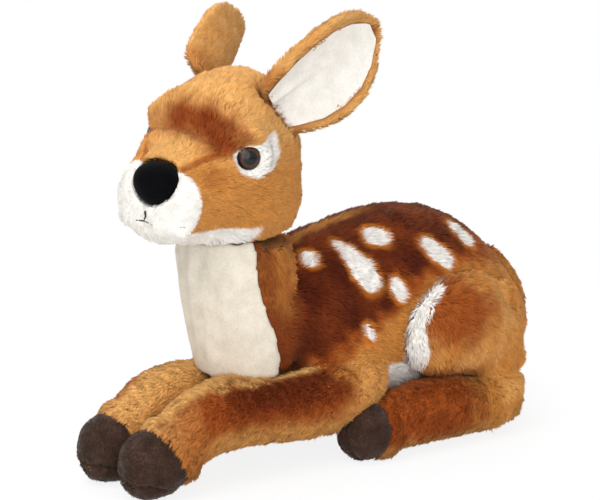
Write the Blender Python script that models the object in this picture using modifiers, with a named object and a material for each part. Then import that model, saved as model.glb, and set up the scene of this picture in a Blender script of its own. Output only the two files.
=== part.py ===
# Lying plush fawn, built the way a sewn toy is: short-pile covers over fibre stuffing,
# a safety nose and eyes with their washers, and soft limbs that flex at their seams.
# It faces -Y, its left side is +X, and it lies on the plane Z = 0.
import math

import bmesh
import bpy
from mathutils import Matrix, Vector

# Overall proportions
torso_length = 0.248
torso_width = 0.108
torso_height = 0.151
chest_y = -0.050

neck_width = 0.072
neck_depth = 0.080
neck_bottom_z = 0.056
neck_axis_y = -0.036
neck_turn = math.radians(18.0)
bib_depth_share = 0.30
bib_lean = math.radians(7.0)

# The head's own frame stands on the neck's axis at the height of the seam
head_length = 0.122
head_width = 0.087
head_height = 0.106
head_base_rise = -0.002
head_back_reach = 0.035
head_seam_z = 0.144
head_turn = math.radians(18.0)
head_tilt = math.radians(8.0)
head_middle_share = 0.50
head_keel_share = 0.92
muzzle_seam_reach = 0.066
muzzle_seam_tilt = math.radians(14.0)

front_leg_length = 0.180
front_leg_girth = 0.042
front_leg_root_y = 0.044
front_hoof_share = 0.795
front_hoof_height_share = 0.80
elbow_radius_share = 0.60
elbow_share = 0.385
front_hoof_tilt = math.radians(40.0)

hind_foot_length = 0.141
hind_foot_girth = 0.040
hind_foot_root_y = 0.149
hind_hoof_share = 0.84
hind_hoof_tilt = math.radians(-20.0)
hind_hoof_height_share = 0.45
hock_share = 0.155

haunch_length = 0.100
haunch_height = 0.074
haunch_thickness = 0.048
haunch_front_y = 0.058
stifle_seam_z = 0.0385

tail_length = 0.080
tail_width = 0.034
tail_thickness = 0.012
tail_root_y = 0.1685
tail_root_z = 0.1085

ear_length = 0.085
ear_width = 0.059
ear_cup = 0.012
ear_thickness = 0.006
ear_rim = 0.0065
ear_base_reach = -0.007
ear_base_side_left = 0.024
ear_base_side_right = 0.024
ear_base_rise = 0.078
ear_lean_out_left = math.radians(22.0)
ear_lean_out_right = math.radians(21.0)
ear_lean_back_left = math.radians(48.0)
ear_lean_back_right = math.radians(68.0)
ear_facing_left = math.radians(77.0)
ear_facing_right = math.radians(60.0)
ear_flex = math.radians(20.0)

nose_width = 0.030
nose_height = 0.028
nose_depth = 0.024
nose_rise = 0.041
nose_reach = 0.079

eye_diameter = 0.0155
eye_dome = 0.0046
eye_side = 0.0345
eye_reach = 0.040
eye_rise = 0.058
eye_bearing = math.radians(52.0)
eye_elevation = math.radians(10.0)
eye_sink = 0.0018
eye_patch_diameter = 0.024
eye_washer_drop = 0.0045
eye_patch_thickness = 0.0012

shank_diameter = 0.0040
shank_length = 0.0110
washer_diameter = 0.0130
washer_thickness = 0.0012
thread_diameter = 0.0011
thread_lift = 0.00035

cover_wall = 0.0045
lining_wall = 0.0012
seam_gap = 0.0003
torso_sink = 0.0027
front_leg_sink = 0.0033
hind_foot_sink = 0.0014
belly_seam_z = 0.030
overrun = 0.300

# Counts
form_sides = 10
head_sides = 12
ball_steps = 16
dome_steps = 5
limb_sides = 8
turned_steps = 14
nose_steps = 16
nose_bands = 10
ear_columns = 6
stitch_steps = 3

# How finely points are welded, how blunt an edge still shades round, and how a cover's
# inner face leaves out rings too small for it and stops short of the ends
weld_share = 0.01
crease_angle = math.radians(50.0)
ring_keep_share = 1.25
end_inset_share = 0.5

# One row a station: place along the length, lowest and highest point as shares of the
# height, half width as a share of half the width, and how far the underside draws in
torso_station_shares = (
    (0.000, 0.480, 0.580, 0.20, 0.90),
    (0.025, 0.440, 0.670, 0.44, 0.85),
    (0.100, 0.410, 0.800, 0.62, 0.75),
    (0.200, 0.350, 0.900, 0.73, 0.65),
    (0.282, 0.190, 0.945, 0.80, 0.60),
    (0.358, 0.040, 0.965, 0.86, 0.60),
    (0.460, 0.000, 1.000, 0.93, 0.62),
    (0.580, 0.010, 1.000, 0.98, 0.62),
    (0.700, 0.030, 0.960, 1.00, 0.62),
    (0.810, 0.070, 0.845, 0.93, 0.66),
    (0.903, 0.140, 0.665, 0.76, 0.72),
    (0.968, 0.230, 0.530, 0.50, 0.85),
    (1.000, 0.330, 0.440, 0.20, 0.90),
)

# Height as a share of the neck's height, half width, half depth, and shift of the centre
# forward as a share of the depth
neck_station_shares = (
    (0.000, 0.90, 0.86, -0.09),
    (0.180, 0.96, 0.92, -0.07),
    (0.400, 1.00, 0.97, -0.04),
    (0.700, 1.00, 1.00, -0.01),
    (1.000, 1.00, 0.99, 0.00),
    (1.150, 0.98, 0.96, 0.00),
)

# Place from the back of the head to the snout, lowest, highest, half width
head_station_shares = (
    (0.000, -0.160, 0.620, 0.36),
    (0.040, -0.270, 0.780, 0.66),
    (0.140, -0.290, 0.910, 0.87),
    (0.290, -0.250, 0.980, 0.98),
    (0.450, -0.200, 0.970, 1.00),
    (0.570, -0.090, 0.930, 0.97),
    (0.655, 0.000, 0.820, 0.86),
    (0.730, 0.028, 0.690, 0.77),
    (0.825, 0.037, 0.610, 0.73),
    (0.915, 0.060, 0.550, 0.67),
    (0.977, 0.130, 0.450, 0.47),
    (1.000, 0.210, 0.360, 0.20),
)

# Place along the length, side and height of the centre line, half width and half height,
# all but the first as shares of the girth
front_leg_station_shares = (
    (0.000, 0.905, 1.400, 0.20, 0.24),
    (0.035, 0.905, 1.330, 0.42, 0.46),
    (0.125, 0.880, 1.120, 0.49, 0.55),
    (0.250, 0.820, 1.000, 0.49, 0.54),
    (0.385, 0.740, 0.990, 0.46, 0.49),
    (0.550, 0.645, 1.030, 0.45, 0.47),
    (0.700, 0.575, 0.990, 0.45, 0.47),
    (0.800, 0.530, 0.800, 0.44, 0.45),
    (0.870, 0.505, 0.560, 0.49, 0.48),
    (0.940, 0.500, 0.410, 0.45, 0.43),
    (1.000, 0.495, 0.330, 0.20, 0.20),
)

hind_foot_station_shares = (
    (0.000, 1.370, 0.660, 0.26, 0.36),
    (0.040, 1.370, 0.630, 0.44, 0.57),
    (0.155, 1.360, 0.585, 0.49, 0.53),
    (0.340, 1.340, 0.560, 0.48, 0.46),
    (0.510, 1.310, 0.560, 0.47, 0.46),
    (0.665, 1.260, 0.525, 0.42, 0.42),
    (0.765, 1.230, 0.490, 0.41, 0.42),
    (0.880, 1.200, 0.450, 0.44, 0.45),
    (0.965, 1.175, 0.380, 0.34, 0.36),
    (1.000, 1.165, 0.330, 0.16, 0.18),
)

# Place along the length, side of the centre as a share of the thickness, lowest and highest
# as shares of the height above the stifle seam, half width as a share of the thickness
haunch_station_shares = (
    (0.000, 0.92, 0.320, 0.560, 0.16),
    (0.055, 0.96, 0.140, 0.740, 0.36),
    (0.240, 0.98, 0.020, 0.900, 0.46),
    (0.480, 0.96, -0.020, 0.970, 0.50),
    (0.700, 0.92, -0.060, 0.930, 0.50),
    (0.900, 0.90, -0.080, 0.780, 0.46),
    (1.000, 0.88, -0.200, 0.480, 0.36),
)

# Along the tail: distance behind the root and below it, half width, half thickness
tail_station_shares = (
    (0.00, 0.00, 0.32, 0.34),
    (0.11, -0.09, 0.40, 0.46),
    (0.25, -0.25, 0.49, 0.52),
    (0.375, -0.45, 0.46, 0.50),
    (0.445, -0.61, 0.32, 0.40),
    (0.46, -0.69, 0.12, 0.16),
)

# Half width of the ear along its length
ear_outline_shares = (
    (0.00, 0.58),
    (0.12, 0.74),
    (0.30, 0.93),
    (0.48, 1.00),
    (0.65, 0.94),
    (0.80, 0.75),
    (0.91, 0.47),
    (1.00, 0.12),
)

# The stitched mouth in shares of the nose's width: side and drop below the nose's centre
philtrum_shares = ((0.00, 0.50), (0.01, 0.55), (0.02, 0.61), (0.00, 0.665))
mouth_shares = (
    (-0.75, 0.65), (-0.50, 0.72), (-0.25, 0.74), (0.00, 0.69),
    (0.25, 0.74), (0.50, 0.72), (0.75, 0.65),
)

# Colour, roughness and metallic value of each finish
finishes = {
    "spotted_plush": ((0.22, 0.065, 0.020), 0.95, 0.0),
    "tan_plush": ((0.54, 0.24, 0.070), 0.95, 0.0),
    "cream_plush": ((0.80, 0.74, 0.64), 0.95, 0.0),
    "hoof_velour": ((0.055, 0.035, 0.028), 0.85, 0.0),
    "ear_velour": ((0.84, 0.80, 0.76), 0.90, 0.0),
    "fibre_stuffing": ((0.88, 0.88, 0.86), 1.0, 0.0),
    "black_flock": ((0.008, 0.008, 0.010), 0.9, 0.0),
    "eye_plastic": ((0.020, 0.010, 0.006), 0.1, 0.0),
    "washer_plastic": ((0.75, 0.75, 0.72), 0.5, 0.0),
    "black_thread": ((0.010, 0.010, 0.010), 0.8, 0.0),
}


def clear_scene():
    for item in list(bpy.data.objects):
        bpy.data.objects.remove(item)


def new_collection(name):
    made = bpy.data.collections.new(name)
    bpy.context.scene.collection.children.link(made)
    return made


def finish_material(name):
    made = bpy.data.materials.get(name)
    if made is None:
        colour, roughness, metallic = finishes[name]
        made = bpy.data.materials.new(name)
        made.use_nodes = True
        shader = made.node_tree.nodes["Principled BSDF"]
        shader.inputs["Base Color"].default_value = (*colour, 1.0)
        shader.inputs["Roughness"].default_value = roughness
        shader.inputs["Metallic"].default_value = metallic
        made.diffuse_color = (*colour, 1.0)
    return made


def link_object(name, mesh, collection, parent):
    made = bpy.data.objects.new(name, mesh)
    collection.objects.link(made)
    made.parent = parent
    return made


def as_cutter(made):
    made.hide_render = True
    made.display_type = "WIRE"
    return made


def new_empty(name, parent, location, turn=0.0):
    made = bpy.data.objects.new(name, None)
    part_collection.objects.link(made)
    made.parent = parent
    made.location = location
    made.rotation_euler = (0.0, 0.0, turn)
    return made


# A ring is its centre, its sideways and upward half sizes as vectors, and the share of its
# width that is left at its lowest point

def ring_points(ring, sides):
    centre, side, up, keel = ring
    points = []
    for step in range(sides):
        angle = 2.0 * math.pi * (step + 0.5) / sides
        drop = max(0.0, -math.sin(angle))
        width = 1.0 - (1.0 - keel) * drop
        points.append(centre + side * math.cos(angle) * width + up * math.sin(angle))
    return points


def loft_mesh(name, rings, sides, fullness):
    shape = bmesh.new()
    loops = []
    for centre, side, up, keel in rings:
        ring = (centre, side * fullness, up * fullness, keel)
        loops.append([shape.verts.new(point) for point in ring_points(ring, sides)])
    for first, second in zip(loops, loops[1:]):
        for step in range(sides):
            following = (step + 1) % sides
            shape.faces.new((first[step], first[following], second[following], second[step]))
    shape.faces.new(loops[0])
    shape.faces.new(loops[-1])
    bmesh.ops.recalc_face_normals(shape, faces=shape.faces)
    mesh = bpy.data.meshes.new(name)
    shape.to_mesh(mesh)
    shape.free()
    return mesh


def smooth_form(name, rings, sides, collection, parent):
    # The cage is widened by what one subdivision takes from a ring of this many sides
    fullness = 1.0 / (0.75 + 0.25 * math.cos(2.0 * math.pi / sides))
    made = link_object(name, loft_mesh(name, rings, sides, fullness), collection, parent)
    rounding = made.modifiers.new("rounding", "SUBSURF")
    rounding.levels = 1
    rounding.render_levels = 1
    return made


def inset_rings(rings, depth):
    # Every ring drawn in by the depth, and the two ends by the same depth along the form
    drawn = []
    for centre, side, up, keel in rings:
        if min(side.length, up.length) > depth * ring_keep_share:
            drawn.append([centre.copy(), side - side.normalized() * depth,
                          up - up.normalized() * depth, keel])
    forward = (drawn[-1][0] - drawn[0][0]).normalized()
    drawn[0][0] = drawn[0][0] + forward * depth * end_inset_share
    drawn[-1][0] = drawn[-1][0] - forward * depth * end_inset_share
    return drawn


def plain_form(name, rings, sides, collection, parent):
    mesh = loft_mesh(name, rings, sides, 1.0)
    shape = bmesh.new()
    shape.from_mesh(mesh)
    bmesh.ops.triangulate(shape, faces=shape.faces, quad_method="FIXED", ngon_method="BEAUTY")
    shape.to_mesh(mesh)
    shape.free()
    return link_object(name, mesh, collection, parent)


def box_cutter(name, low, high, parent=None):
    shape = bmesh.new()
    bmesh.ops.create_cube(shape, size=1.0)
    for point in shape.verts:
        point.co = Vector([low[axis] + (point.co[axis] + 0.5) * (high[axis] - low[axis])
                           for axis in range(3)])
    mesh = bpy.data.meshes.new(name)
    shape.to_mesh(mesh)
    shape.free()
    return as_cutter(link_object(name, mesh, cutter_collection, parent))


def ball_cutter(name, centre, radius, parent=None):
    shape = bmesh.new()
    bmesh.ops.create_uvsphere(shape, u_segments=ball_steps, v_segments=ball_steps // 2,
                              radius=radius)
    bmesh.ops.translate(shape, verts=shape.verts, vec=centre)
    mesh = bpy.data.meshes.new(name)
    shape.to_mesh(mesh)
    shape.free()
    return as_cutter(link_object(name, mesh, cutter_collection, parent))


def cut(target, cutter, operation="DIFFERENCE"):
    step = target.modifiers.new(cutter.name, "BOOLEAN")
    step.object = cutter
    step.operation = operation
    step.solver = "EXACT"


def station_path(rows):
    # Rings square to a centre line given as rows of centre, half width and half height
    rings = []
    for index, (centre, half_side, half_up) in enumerate(rows):
        before = rows[max(index - 1, 0)][0]
        after = rows[min(index + 1, len(rows) - 1)][0]
        along = (after - before).normalized()
        side = Vector((1.0, 0.0, 0.0))
        side = (side - along * side.dot(along)).normalized()
        up = side.cross(along)
        if up.z < 0.0:
            up = -up
        rings.append((centre, side * half_side, up * half_up, 1.0))
    return rings


def torso_rings():
    rings = []
    for along, low, high, half, keel in torso_station_shares:
        centre = Vector((0.0, chest_y + along * torso_length,
                         (low + high) / 2.0 * torso_height))
        side = Vector((half * torso_width / 2.0, 0.0, 0.0))
        up = Vector((0.0, 0.0, (high - low) / 2.0 * torso_height))
        rings.append((centre, side, up, keel))
    return lowered(rings, torso_sink)


def lowered(rings, drop):
    return [(centre - Vector((0.0, 0.0, drop)), side, up, keel)
            for centre, side, up, keel in rings]


def neck_rings():
    rings = []
    height = head_seam_z - neck_bottom_z
    for rise, half_width, half_depth, shift in neck_station_shares:
        centre = Vector((0.0, -shift * neck_depth, neck_bottom_z + rise * height))
        side = Vector((half_width * neck_width / 2.0, 0.0, 0.0))
        depth = Vector((0.0, half_depth * neck_depth / 2.0, 0.0))
        rings.append((centre, side, depth, 1.0))
    return rings


def head_rings():
    rings = []
    for along, low, high, half in head_station_shares:
        centre = Vector((0.0, head_back_reach - along * head_length,
                         head_base_rise + (low + high) / 2.0 * head_height))
        side = Vector((half * head_width / 2.0, 0.0, 0.0))
        up = Vector((0.0, 0.0, (high - low) / 2.0 * head_height))
        rings.append((centre, side, up, head_keel_share))
    return rings


def front_leg_rings(hand):
    rows = []
    for along, side, height, half_side, half_up in front_leg_station_shares:
        centre = Vector((hand * side * front_leg_girth,
                         front_leg_root_y - along * front_leg_length,
                         height * front_leg_girth))
        rows.append((centre, half_side * front_leg_girth, half_up * front_leg_girth))
    return lowered(station_path(rows), front_leg_sink)


def hind_foot_rings(hand):
    rows = []
    for along, side, height, half_side, half_up in hind_foot_station_shares:
        centre = Vector((hand * side * hind_foot_girth,
                         hind_foot_root_y - along * hind_foot_length,
                         height * hind_foot_girth))
        rows.append((centre, half_side * hind_foot_girth, half_up * hind_foot_girth))
    return lowered(station_path(rows), hind_foot_sink)


def haunch_rings(hand):
    rings = []
    for along, side, low, high, half in haunch_station_shares:
        centre = Vector((hand * side * haunch_thickness, haunch_front_y + along * haunch_length,
                         stifle_seam_z + (low + high) / 2.0 * haunch_height))
        rings.append((centre, Vector((half * haunch_thickness, 0.0, 0.0)),
                      Vector((0.0, 0.0, (high - low) / 2.0 * haunch_height)), 1.0))
    return rings


clear_scene()
part_collection = new_collection("plush_fawn")
cutter_collection = new_collection("cutters")
deer = new_empty("deer", None, (0.0, 0.0, 0.0))
floor_cutter = box_cutter("floor_cutter", (-overrun, -overrun, -overrun), (overrun, overrun, 0.0),
                          deer)

# Body frames in the toy's own frame: the turned neck and head stand on one vertical axis
neck_frame = new_empty("neck_frame", deer, (0.0, neck_axis_y, 0.0), neck_turn)
head_pivot = new_empty("head_pivot", deer, (0.0, neck_axis_y, head_seam_z), head_turn)
head_middle = head_height * head_middle_share
head_frame = new_empty("head_frame", head_pivot,
                       (-head_middle * math.sin(head_tilt), 0.0,
                        head_middle * (1.0 - math.cos(head_tilt))))
head_frame.rotation_euler.y = head_tilt


def build_torso(leg_room):
    # Brown back and cream belly are cut from one form along a level seam
    rings = torso_rings()
    hollow = as_cutter(plain_form("torso_hollow", inset_rings(rings, cover_wall), form_sides,
                                  cutter_collection, deer))
    below = box_cutter("below_belly_seam", (-overrun, -overrun, -overrun),
                       (overrun, overrun, belly_seam_z + seam_gap / 2.0), deer)
    above = box_cutter("above_belly_seam", (-overrun, -overrun, belly_seam_z - seam_gap / 2.0),
                       (overrun, overrun, overrun), deer)
    for name, finish, away in (("torso_cover", "spotted_plush", below),
                               ("belly_panel", "cream_plush", above)):
        cover = smooth_form(name, rings, form_sides, part_collection, deer)
        cut(cover, hollow)
        cut(cover, away)
        cut(cover, leg_room)
        if away is above:
            cut(cover, floor_cutter)
        add_part(cover, finish)
    stuffing = plain_form("torso_stuffing", inset_rings(rings, cover_wall + seam_gap),
                          form_sides, part_collection, deer)
    cut(stuffing, leg_room)
    add_part(stuffing, "fibre_stuffing")


def build_neck(leg_room, torso_block):
    rings = neck_rings()
    hollow = as_cutter(plain_form("neck_hollow", inset_rings(rings, cover_wall), form_sides,
                                  cutter_collection, neck_frame))
    above = box_cutter("above_head_seam", (-overrun, -overrun, head_seam_z - seam_gap / 2.0),
                       (overrun, overrun, overrun), deer)
    bib_point = Vector((0.0, -bib_depth_share * neck_depth, head_seam_z))
    backward = Vector((0.0, math.cos(bib_lean), math.sin(bib_lean)))
    behind = half_space("behind_bib", bib_point - backward * seam_gap / 2.0, backward,
                        neck_frame)
    ahead = half_space("ahead_of_bib", bib_point + backward * seam_gap / 2.0, -backward,
                       neck_frame)
    for name, finish, away in (("neck_cover", "tan_plush", ahead),
                               ("bib_panel", "cream_plush", behind)):
        cover = smooth_form(name, rings, form_sides, part_collection, neck_frame)
        for cutter in (away, leg_room, above, torso_block, hollow):
            cut(cover, cutter)
        add_part(cover, finish)
    stuffing = plain_form("neck_stuffing", inset_rings(rings, cover_wall + seam_gap),
                          form_sides, part_collection, neck_frame)
    for cutter in (above, torso_block, leg_room):
        cut(stuffing, cutter)
    add_part(stuffing, "fibre_stuffing")


def build_haunch(hand, side_name, torso_block):
    rings = haunch_rings(hand)
    hollow = as_cutter(plain_form("haunch_hollow_" + side_name, inset_rings(rings, cover_wall),
                                  limb_sides, cutter_collection, deer))
    below = box_cutter("below_stifle_" + side_name, (-overrun, -overrun, -overrun),
                       (overrun, overrun, stifle_seam_z + seam_gap / 2.0), deer)
    cover = smooth_form("haunch_cover_" + side_name, rings, limb_sides, part_collection, deer)
    for cutter in (hollow, below, torso_block):
        cut(cover, cutter)
    add_part(cover, "tan_plush")
    stuffing = plain_form("haunch_stuffing_" + side_name,
                          inset_rings(rings, cover_wall + seam_gap), limb_sides,
                          part_collection, deer)
    for cutter in (below, torso_block):
        cut(stuffing, cutter)
    add_part(stuffing, "fibre_stuffing")


def station_at(rows, share):
    return min(rows, key=lambda row: abs(row[0] - share))


def elbow_centre(hand):
    # The elbow seam is a ball centred on the leg's own centre line
    along, side, height, half_side, half_up = station_at(front_leg_station_shares, elbow_share)
    return Vector((hand * side * front_leg_girth, front_leg_root_y - along * front_leg_length,
                   height * front_leg_girth - front_leg_sink))


def hock_centre(hand):
    along, side, height, half_side, half_up = station_at(hind_foot_station_shares, hock_share)
    return Vector((hand * side * hind_foot_girth, hind_foot_root_y - along * hind_foot_length,
                   height * hind_foot_girth - hind_foot_sink))


def half_space(name, point, normal, parent):
    # A cutter that fills the side of a plane that its normal points to
    block = box_cutter(name, (-overrun, -overrun, 0.0), (overrun, overrun, overrun), parent)
    block.location = point
    block.rotation_euler = normal.to_track_quat("Z", "Y").to_euler()
    return block


def make_leg_rooms():
    # The space above which the chest and neck end, so that the forelegs swing under them
    top = max((height + half_up) * front_leg_girth for along, side, height, half_side, half_up
              in front_leg_station_shares if along >= elbow_share) + seam_gap
    back = elbow_centre(1.0).y + elbow_radius_share * front_leg_girth + seam_gap
    low = (-overrun, -overrun, -overrun)
    return (box_cutter("torso_leg_room", low, (overrun, back, top), deer),
            box_cutter("neck_leg_room", low, (overrun, overrun, top), deer))


def build_front_leg(hand, side_name, torso_block, neck_block, foot_block):
    rings = front_leg_rings(hand)
    centre = elbow_centre(hand)
    pivot = new_empty("front_leg_pivot_" + side_name, deer, centre)
    hollow = as_cutter(plain_form("front_leg_hollow_" + side_name,
                                  inset_rings(rings, cover_wall), limb_sides,
                                  cutter_collection, deer))
    ahead = box_cutter("ahead_of_elbow_" + side_name, (-overrun, -overrun, -overrun),
                       (overrun, centre.y, overrun), deer)
    behind = box_cutter("behind_elbow_" + side_name, (-overrun, centre.y, -overrun),
                        (overrun, overrun, overrun), deer)
    ball_radius = elbow_radius_share * front_leg_girth
    # The socket's flats stay clear of the ball's corners as the elbow turns
    socket_radius = (ball_radius + seam_gap) / math.cos(math.pi / ball_steps)
    cut(behind, ball_cutter("elbow_ball_" + side_name, centre, ball_radius, deer))
    socket = ball_cutter("elbow_socket_" + side_name, centre, socket_radius, deer)
    hoof_point = Vector((centre.x, front_leg_root_y - front_hoof_share * front_leg_length,
                         front_hoof_height_share * front_leg_girth))
    toward = Vector((0.0, -math.cos(front_hoof_tilt), -math.sin(front_hoof_tilt)))
    hoof_side = half_space("front_hoof_side_" + side_name,
                           hoof_point - toward * seam_gap / 2.0, toward, deer)
    leg_side = half_space("front_leg_side_" + side_name,
                          hoof_point + toward * seam_gap / 2.0, -toward, deer)

    shoulder = smooth_form("shoulder_cover_" + side_name, rings, limb_sides, part_collection,
                           deer)
    for cutter in (hollow, ahead, socket, torso_block, neck_block, foot_block):
        cut(shoulder, cutter)
    add_part(shoulder, "tan_plush")
    filling = plain_form("shoulder_stuffing_" + side_name,
                         inset_rings(rings, cover_wall + seam_gap), limb_sides,
                         part_collection, deer)
    for cutter in (ahead, socket, torso_block, neck_block, foot_block):
        cut(filling, cutter)
    add_part(filling, "fibre_stuffing")

    leg = smooth_form("front_leg_cover_" + side_name, rings, limb_sides, part_collection, deer)
    for cutter in (hollow, behind, hoof_side):
        cut(leg, cutter)
    add_part(leg, "tan_plush", pivot)
    hoof = smooth_form("front_hoof_" + side_name, rings, limb_sides, part_collection, deer)
    for cutter in (hollow, leg_side, floor_cutter):
        cut(hoof, cutter)
    add_part(hoof, "hoof_velour", pivot)
    stuffing = plain_form("front_leg_stuffing_" + side_name,
                          inset_rings(rings, cover_wall + seam_gap), limb_sides,
                          part_collection, deer)
    cut(stuffing, behind)
    add_part(stuffing, "fibre_stuffing", pivot)


def build_hind_foot(hand, side_name, torso_block):
    rings = hind_foot_rings(hand)
    pivot = new_empty("hind_foot_pivot_" + side_name, deer, hock_centre(hand))
    hollow = as_cutter(plain_form("hind_foot_hollow_" + side_name,
                                  inset_rings(rings, cover_wall), limb_sides,
                                  cutter_collection, deer))
    above = box_cutter("above_stifle_" + side_name,
                       (-overrun, -overrun, stifle_seam_z - seam_gap / 2.0),
                       (overrun, overrun, overrun), deer)
    hoof_y = hind_foot_root_y - hind_hoof_share * hind_foot_length
    hoof_point = Vector((0.0, hoof_y, hind_hoof_height_share * hind_foot_girth))
    toward = Vector((0.0, -math.cos(hind_hoof_tilt), -math.sin(hind_hoof_tilt)))
    ahead = half_space("hind_hoof_side_" + side_name, hoof_point - toward * seam_gap / 2.0,
                       toward, deer)
    behind = half_space("hind_foot_side_" + side_name, hoof_point + toward * seam_gap / 2.0,
                        -toward, deer)
    foot = smooth_form("hind_foot_cover_" + side_name, rings, limb_sides, part_collection, deer)
    for cutter in (torso_block, hollow, above, ahead, floor_cutter):
        cut(foot, cutter)
    add_part(foot, "tan_plush", pivot)
    hoof = smooth_form("hind_hoof_" + side_name, rings, limb_sides, part_collection, deer)
    for cutter in (torso_block, hollow, above, behind, floor_cutter):
        cut(hoof, cutter)
    add_part(hoof, "hoof_velour", pivot)
    stuffing = plain_form("hind_foot_stuffing_" + side_name,
                          inset_rings(rings, cover_wall + seam_gap), limb_sides,
                          part_collection, deer)
    for cutter in (above, torso_block):
        cut(stuffing, cutter)
    add_part(stuffing, "fibre_stuffing", pivot)


def tail_rings():
    rows = []
    for back, drop, half_side, half_up in tail_station_shares:
        centre = Vector((0.0, tail_root_y + back * tail_length, tail_root_z + drop * tail_length))
        rows.append((centre, half_side * tail_width, half_up * tail_thickness))
    return station_path(rows)


def build_tail(torso_block):
    rings = tail_rings()
    root = rings[0][0]
    pivot = new_empty("tail_pivot", deer, root)
    along = (rings[1][0] - root).normalized()
    tail = smooth_form("tail", rings, limb_sides, part_collection, deer)
    cut(tail, torso_block)
    cut(tail, half_space("ahead_of_tail", root + along * seam_gap, -along, deer))
    add_part(tail, "spotted_plush", pivot)


def turned_part(name, profile, parent, collection):
    # A profile of radius and height, turned once round Z; both ends lie on the axis or
    # the profile is a closed ring
    closed = profile[0][0] > 0.0
    shape = bmesh.new()
    points = [shape.verts.new((radius, 0.0, height)) for radius, height in profile]
    pairs = list(zip(points, points[1:]))
    if closed:
        pairs.append((points[-1], points[0]))
    for first, second in pairs:
        shape.edges.new((first, second))
    mesh = bpy.data.meshes.new(name)
    shape.to_mesh(mesh)
    shape.free()
    made = link_object(name, mesh, collection, parent)
    turning = made.modifiers.new("turning", "SCREW")
    turning.steps = turned_steps
    turning.render_steps = turned_steps
    turning.use_merge_vertices = True
    turning.merge_threshold = seam_gap * weld_share
    return made


def washer_profile():
    hole = shank_diameter / 2.0 + seam_gap
    rim = washer_diameter / 2.0
    return ((hole, washer_thickness), (rim, washer_thickness), (rim, 0.0), (hole, 0.0))


def drum_profile(radius, low, high):
    return ((0.0, high), (radius, high), (radius, low), (0.0, low))


def stepped_profile(radius, height, step, depth):
    # A wide hole down to the step and the shank's bore below it
    bore = shank_diameter / 2.0 + seam_gap
    return ((0.0, height), (radius, height), (radius, step), (bore, step),
            (bore, -depth), (0.0, -depth))


def eye_profile():
    # Domed front over a flat back with a shank that points down the axis
    radius = eye_diameter / 2.0
    rows = [(radius * math.sin(math.pi / 2.0 * step / dome_steps),
             eye_dome * math.cos(math.pi / 2.0 * step / dome_steps))
            for step in range(dome_steps + 1)]
    rows[0] = (0.0, eye_dome)
    shank = shank_diameter / 2.0
    return rows + [(radius, -seam_gap), (shank, -seam_gap), (shank, -shank_length),
                   (0.0, -shank_length)]


def place_on(made, point, toward):
    made.location = point
    made.rotation_euler = toward.to_track_quat("Z", "Y").to_euler()


def build_eye(hand, side_name, head_cover, stuffing):
    level = math.cos(eye_elevation)
    toward = Vector((hand * math.sin(eye_bearing) * level, -math.cos(eye_bearing) * level,
                     math.sin(eye_elevation)))
    seat = Vector((hand * eye_side, -eye_reach, eye_rise)) - toward * eye_sink
    patch_top = eye_patch_thickness + seam_gap
    shank_hole = shank_diameter / 2.0 + seam_gap

    eye = turned_part("eye_" + side_name, eye_profile(), head_frame, part_collection)
    place_on(eye, seat + toward * (patch_top + seam_gap * 2.0), toward)
    add_part(eye, "eye_plastic", head_frame)
    patch = turned_part("eye_patch_" + side_name,
                        ((shank_hole, patch_top), (eye_patch_diameter / 2.0, patch_top),
                         (eye_patch_diameter / 2.0, seam_gap), (shank_hole, seam_gap)),
                        head_frame, part_collection)
    place_on(patch, seat, toward)
    add_part(patch, "cream_plush", head_frame)
    washer = turned_part("eye_washer_" + side_name, washer_profile(), head_frame,
                         part_collection)
    washer_seat = seat - toward * eye_washer_drop
    place_on(washer, washer_seat, toward)
    add_part(washer, "washer_plastic", head_frame)

    socket = turned_part("eye_socket_" + side_name,
                         stepped_profile(eye_patch_diameter / 2.0 + seam_gap, shank_length,
                                         0.0, shank_length + seam_gap),
                         head_frame, cutter_collection)
    place_on(as_cutter(socket), seat, toward)
    cut(head_cover, socket)
    recess = turned_part("eye_recess_" + side_name,
                         stepped_profile(eye_patch_diameter / 2.0 + seam_gap, shank_length,
                                         -seam_gap, shank_length + seam_gap - eye_washer_drop),
                         head_frame, cutter_collection)
    place_on(as_cutter(recess), washer_seat, toward)
    cut(stuffing, recess)


def nose_form(name, margin, collection):
    shape = bmesh.new()
    bmesh.ops.create_uvsphere(shape, u_segments=nose_steps, v_segments=nose_bands,
                              radius=1.0)
    for point in shape.verts:
        point.co = Vector((point.co.x * (nose_width / 2.0 + margin),
                           point.co.y * (nose_depth / 2.0 + margin),
                           point.co.z * (nose_height / 2.0 + margin)))
    mesh = bpy.data.meshes.new(name)
    shape.to_mesh(mesh)
    shape.free()
    ball = link_object(name, mesh, collection, head_frame)
    ball.location = (0.0, -nose_reach, nose_rise)
    shank = turned_part(name + "_shank",
                        drum_profile(shank_diameter / 2.0 + margin, 0.0,
                                     nose_depth / 2.0 + shank_length + margin),
                        head_frame, cutter_collection)
    place_on(as_cutter(shank), Vector((0.0, -nose_reach, nose_rise)), Vector((0.0, 1.0, 0.0)))
    cut(ball, shank, "UNION")
    return ball


def build_nose(covers, stuffing):
    add_part(nose_form("nose", 0.0, part_collection), "black_flock", head_frame)
    hole = as_cutter(nose_form("nose_hole", seam_gap, cutter_collection))
    toward = Vector((0.0, -1.0, 0.0))
    seat = Vector((0.0, -nose_reach + nose_depth / 2.0 + cover_wall, nose_rise))
    washer = turned_part("nose_washer", washer_profile(), head_frame, part_collection)
    place_on(washer, seat, toward)
    add_part(washer, "washer_plastic", head_frame)
    recess = turned_part("nose_recess",
                         stepped_profile(nose_width / 2.0 + seam_gap,
                                         nose_depth + shank_length, -seam_gap, shank_length),
                         head_frame, cutter_collection)
    place_on(as_cutter(recess), seat, toward)
    for cover in covers:
        cut(cover, hole)
    cut(stuffing, recess)


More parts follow.
